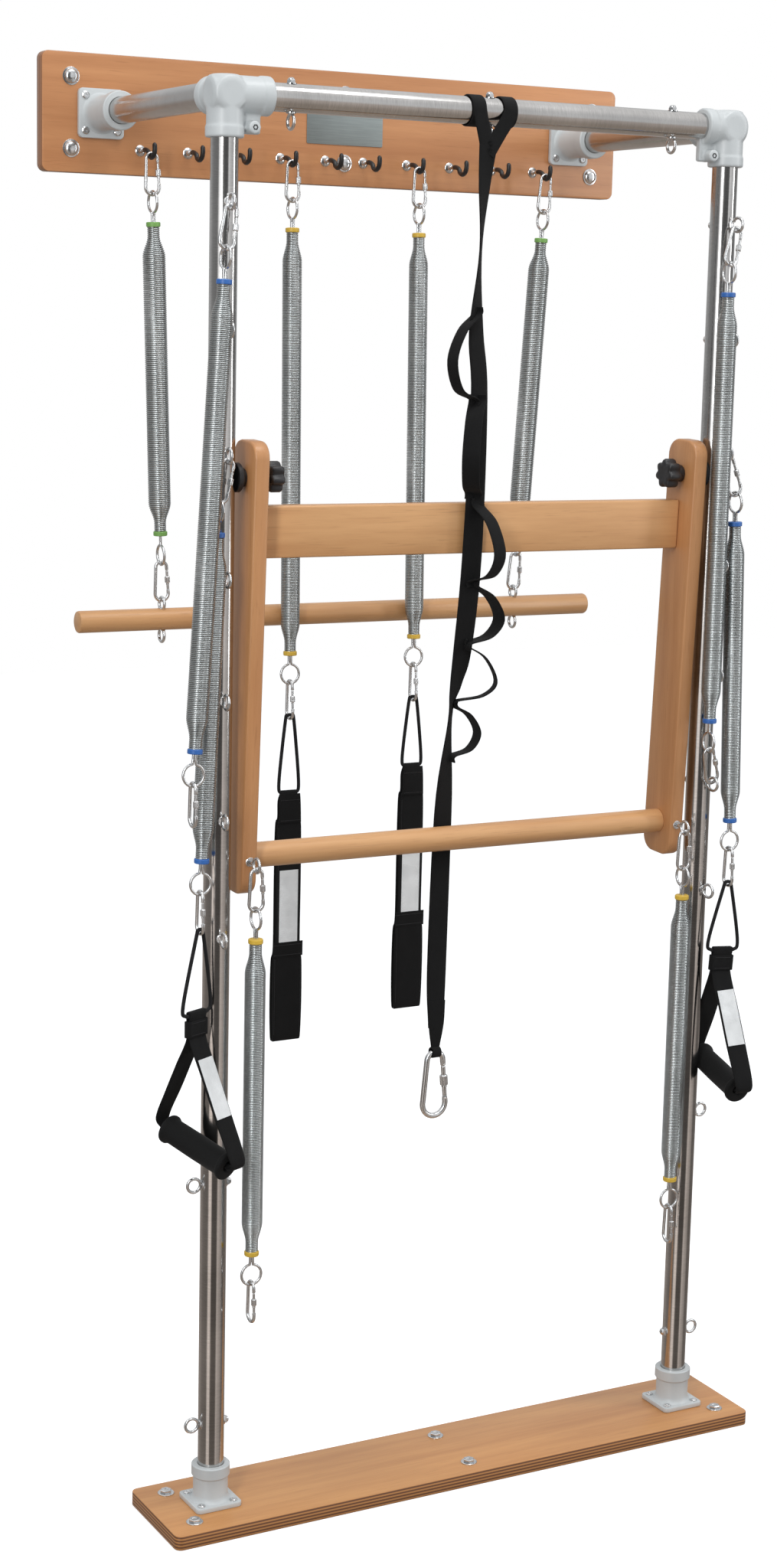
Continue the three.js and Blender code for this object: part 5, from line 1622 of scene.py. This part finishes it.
# What polished tubes mirror: bright strips and dark gaps round the room, by bearing
wall_tone = (1, 1.01, 1.02)
room_walls = [
    (0.0, 0.26), (0.050, 0.24), (0.072, 1.5), (0.125, 1.5), (0.145, 0.13), (0.268, 0.12), (0.288, 1.15),
    (0.320, 0.85), (0.390, 0.62), (0.430, 0.22), (0.52, 0.26), (0.66, 0.6), (0.83, 0.5), (0.92, 0.3),
    (1.0, 0.26),
]


def studio_light():
    """White behind the object, soft light all round, and for reflections a dark room in front of it."""
    world = bpy.data.worlds.new("studio")
    bpy.context.scene.world = world
    world.use_nodes = True
    tree = world.node_tree
    tree.nodes.clear()
    soft = place(tree, "ShaderNodeBackground", {"Color": (0.94, 0.97, 1.0, 1), "Strength": 0.66})
    white = place(tree, "ShaderNodeBackground", {"Color": full_light, "Strength": backdrop})
    coords = place(tree, "ShaderNodeTexCoord")
    way = place(tree, "ShaderNodeSeparateXYZ", {0: coords.outputs["Generated"]})
    bearing = calc(tree, "ARCTAN2", way.outputs["Y"], way.outputs["X"])
    bearing = calc(tree, "MULTIPLY_ADD", bearing, 1 / turn, 0.5)
    walls = ramp(tree, bearing, [[at, shade(wall_tone, share)] for at, share in room_walls])
    height = calc(tree, "MULTIPLY_ADD", way.outputs["Z"], 0.5, 0.5)
    ends = ramp(tree, height, [[0.4, (0.40, 0.34, 0.29, 1)], [0.6, full_light]])
    stops = [[0.14, full_light], [0.34, no_light], [0.68, no_light], [0.86, full_light]]
    near_ends = ramp(tree, height, stops)
    warmth = ramp(tree, height, [[0.40, (0.72, 0.63, 0.57, 1)], [0.49, full_light]])
    room = mix_colour(tree, "MULTIPLY", 1.0, walls, warmth)
    room = mix_colour(tree, "MIX", near_ends, room, ends)
    mirrored = place(tree, "ShaderNodeBackground", {"Color": room, "Strength": 1.0})
    ray = place(tree, "ShaderNodeLightPath")
    lit = mix_shader(tree, ray.outputs["Is Glossy Ray"], soft, mirrored)
    seen = calc(tree, "MAXIMUM", ray.outputs["Is Camera Ray"], ray.outputs["Is Transmission Ray"])
    blend = mix_shader(tree, seen, lit, white)
    place(tree, "ShaderNodeOutputWorld", {"Surface": blend})
    lamps = {
        "key_lamp": ((-2.9, -3.1, 0.6), (0, -0.4, -1.0), (0.55, 3.2), 62),
        "fill_lamp": ((3.1, -2.2, 0.0), (0, -0.4, -1.1), (0.4, 3.2), 30),
        "top_lamp": ((0.2, -1.6, 2.6), (0, -0.5, -1.0), (2.2, 1.2), 40),
    }
    for name, (place_at, aim, size, power) in lamps.items():
        lamp = bpy.data.lights.new(name, "AREA")
        lamp.shape = "RECTANGLE"
        lamp.size, lamp.size_y = size
        lamp.energy = power
        holder = shown(name, lamp)
        holder.location = place_at
        holder.rotation_euler = (Vector(aim) - Vector(place_at)).to_track_quat("-Z", "Y").to_euler()


plain_floor()
studio_light()
bpy.context.scene.view_settings.view_transform = "Standard"
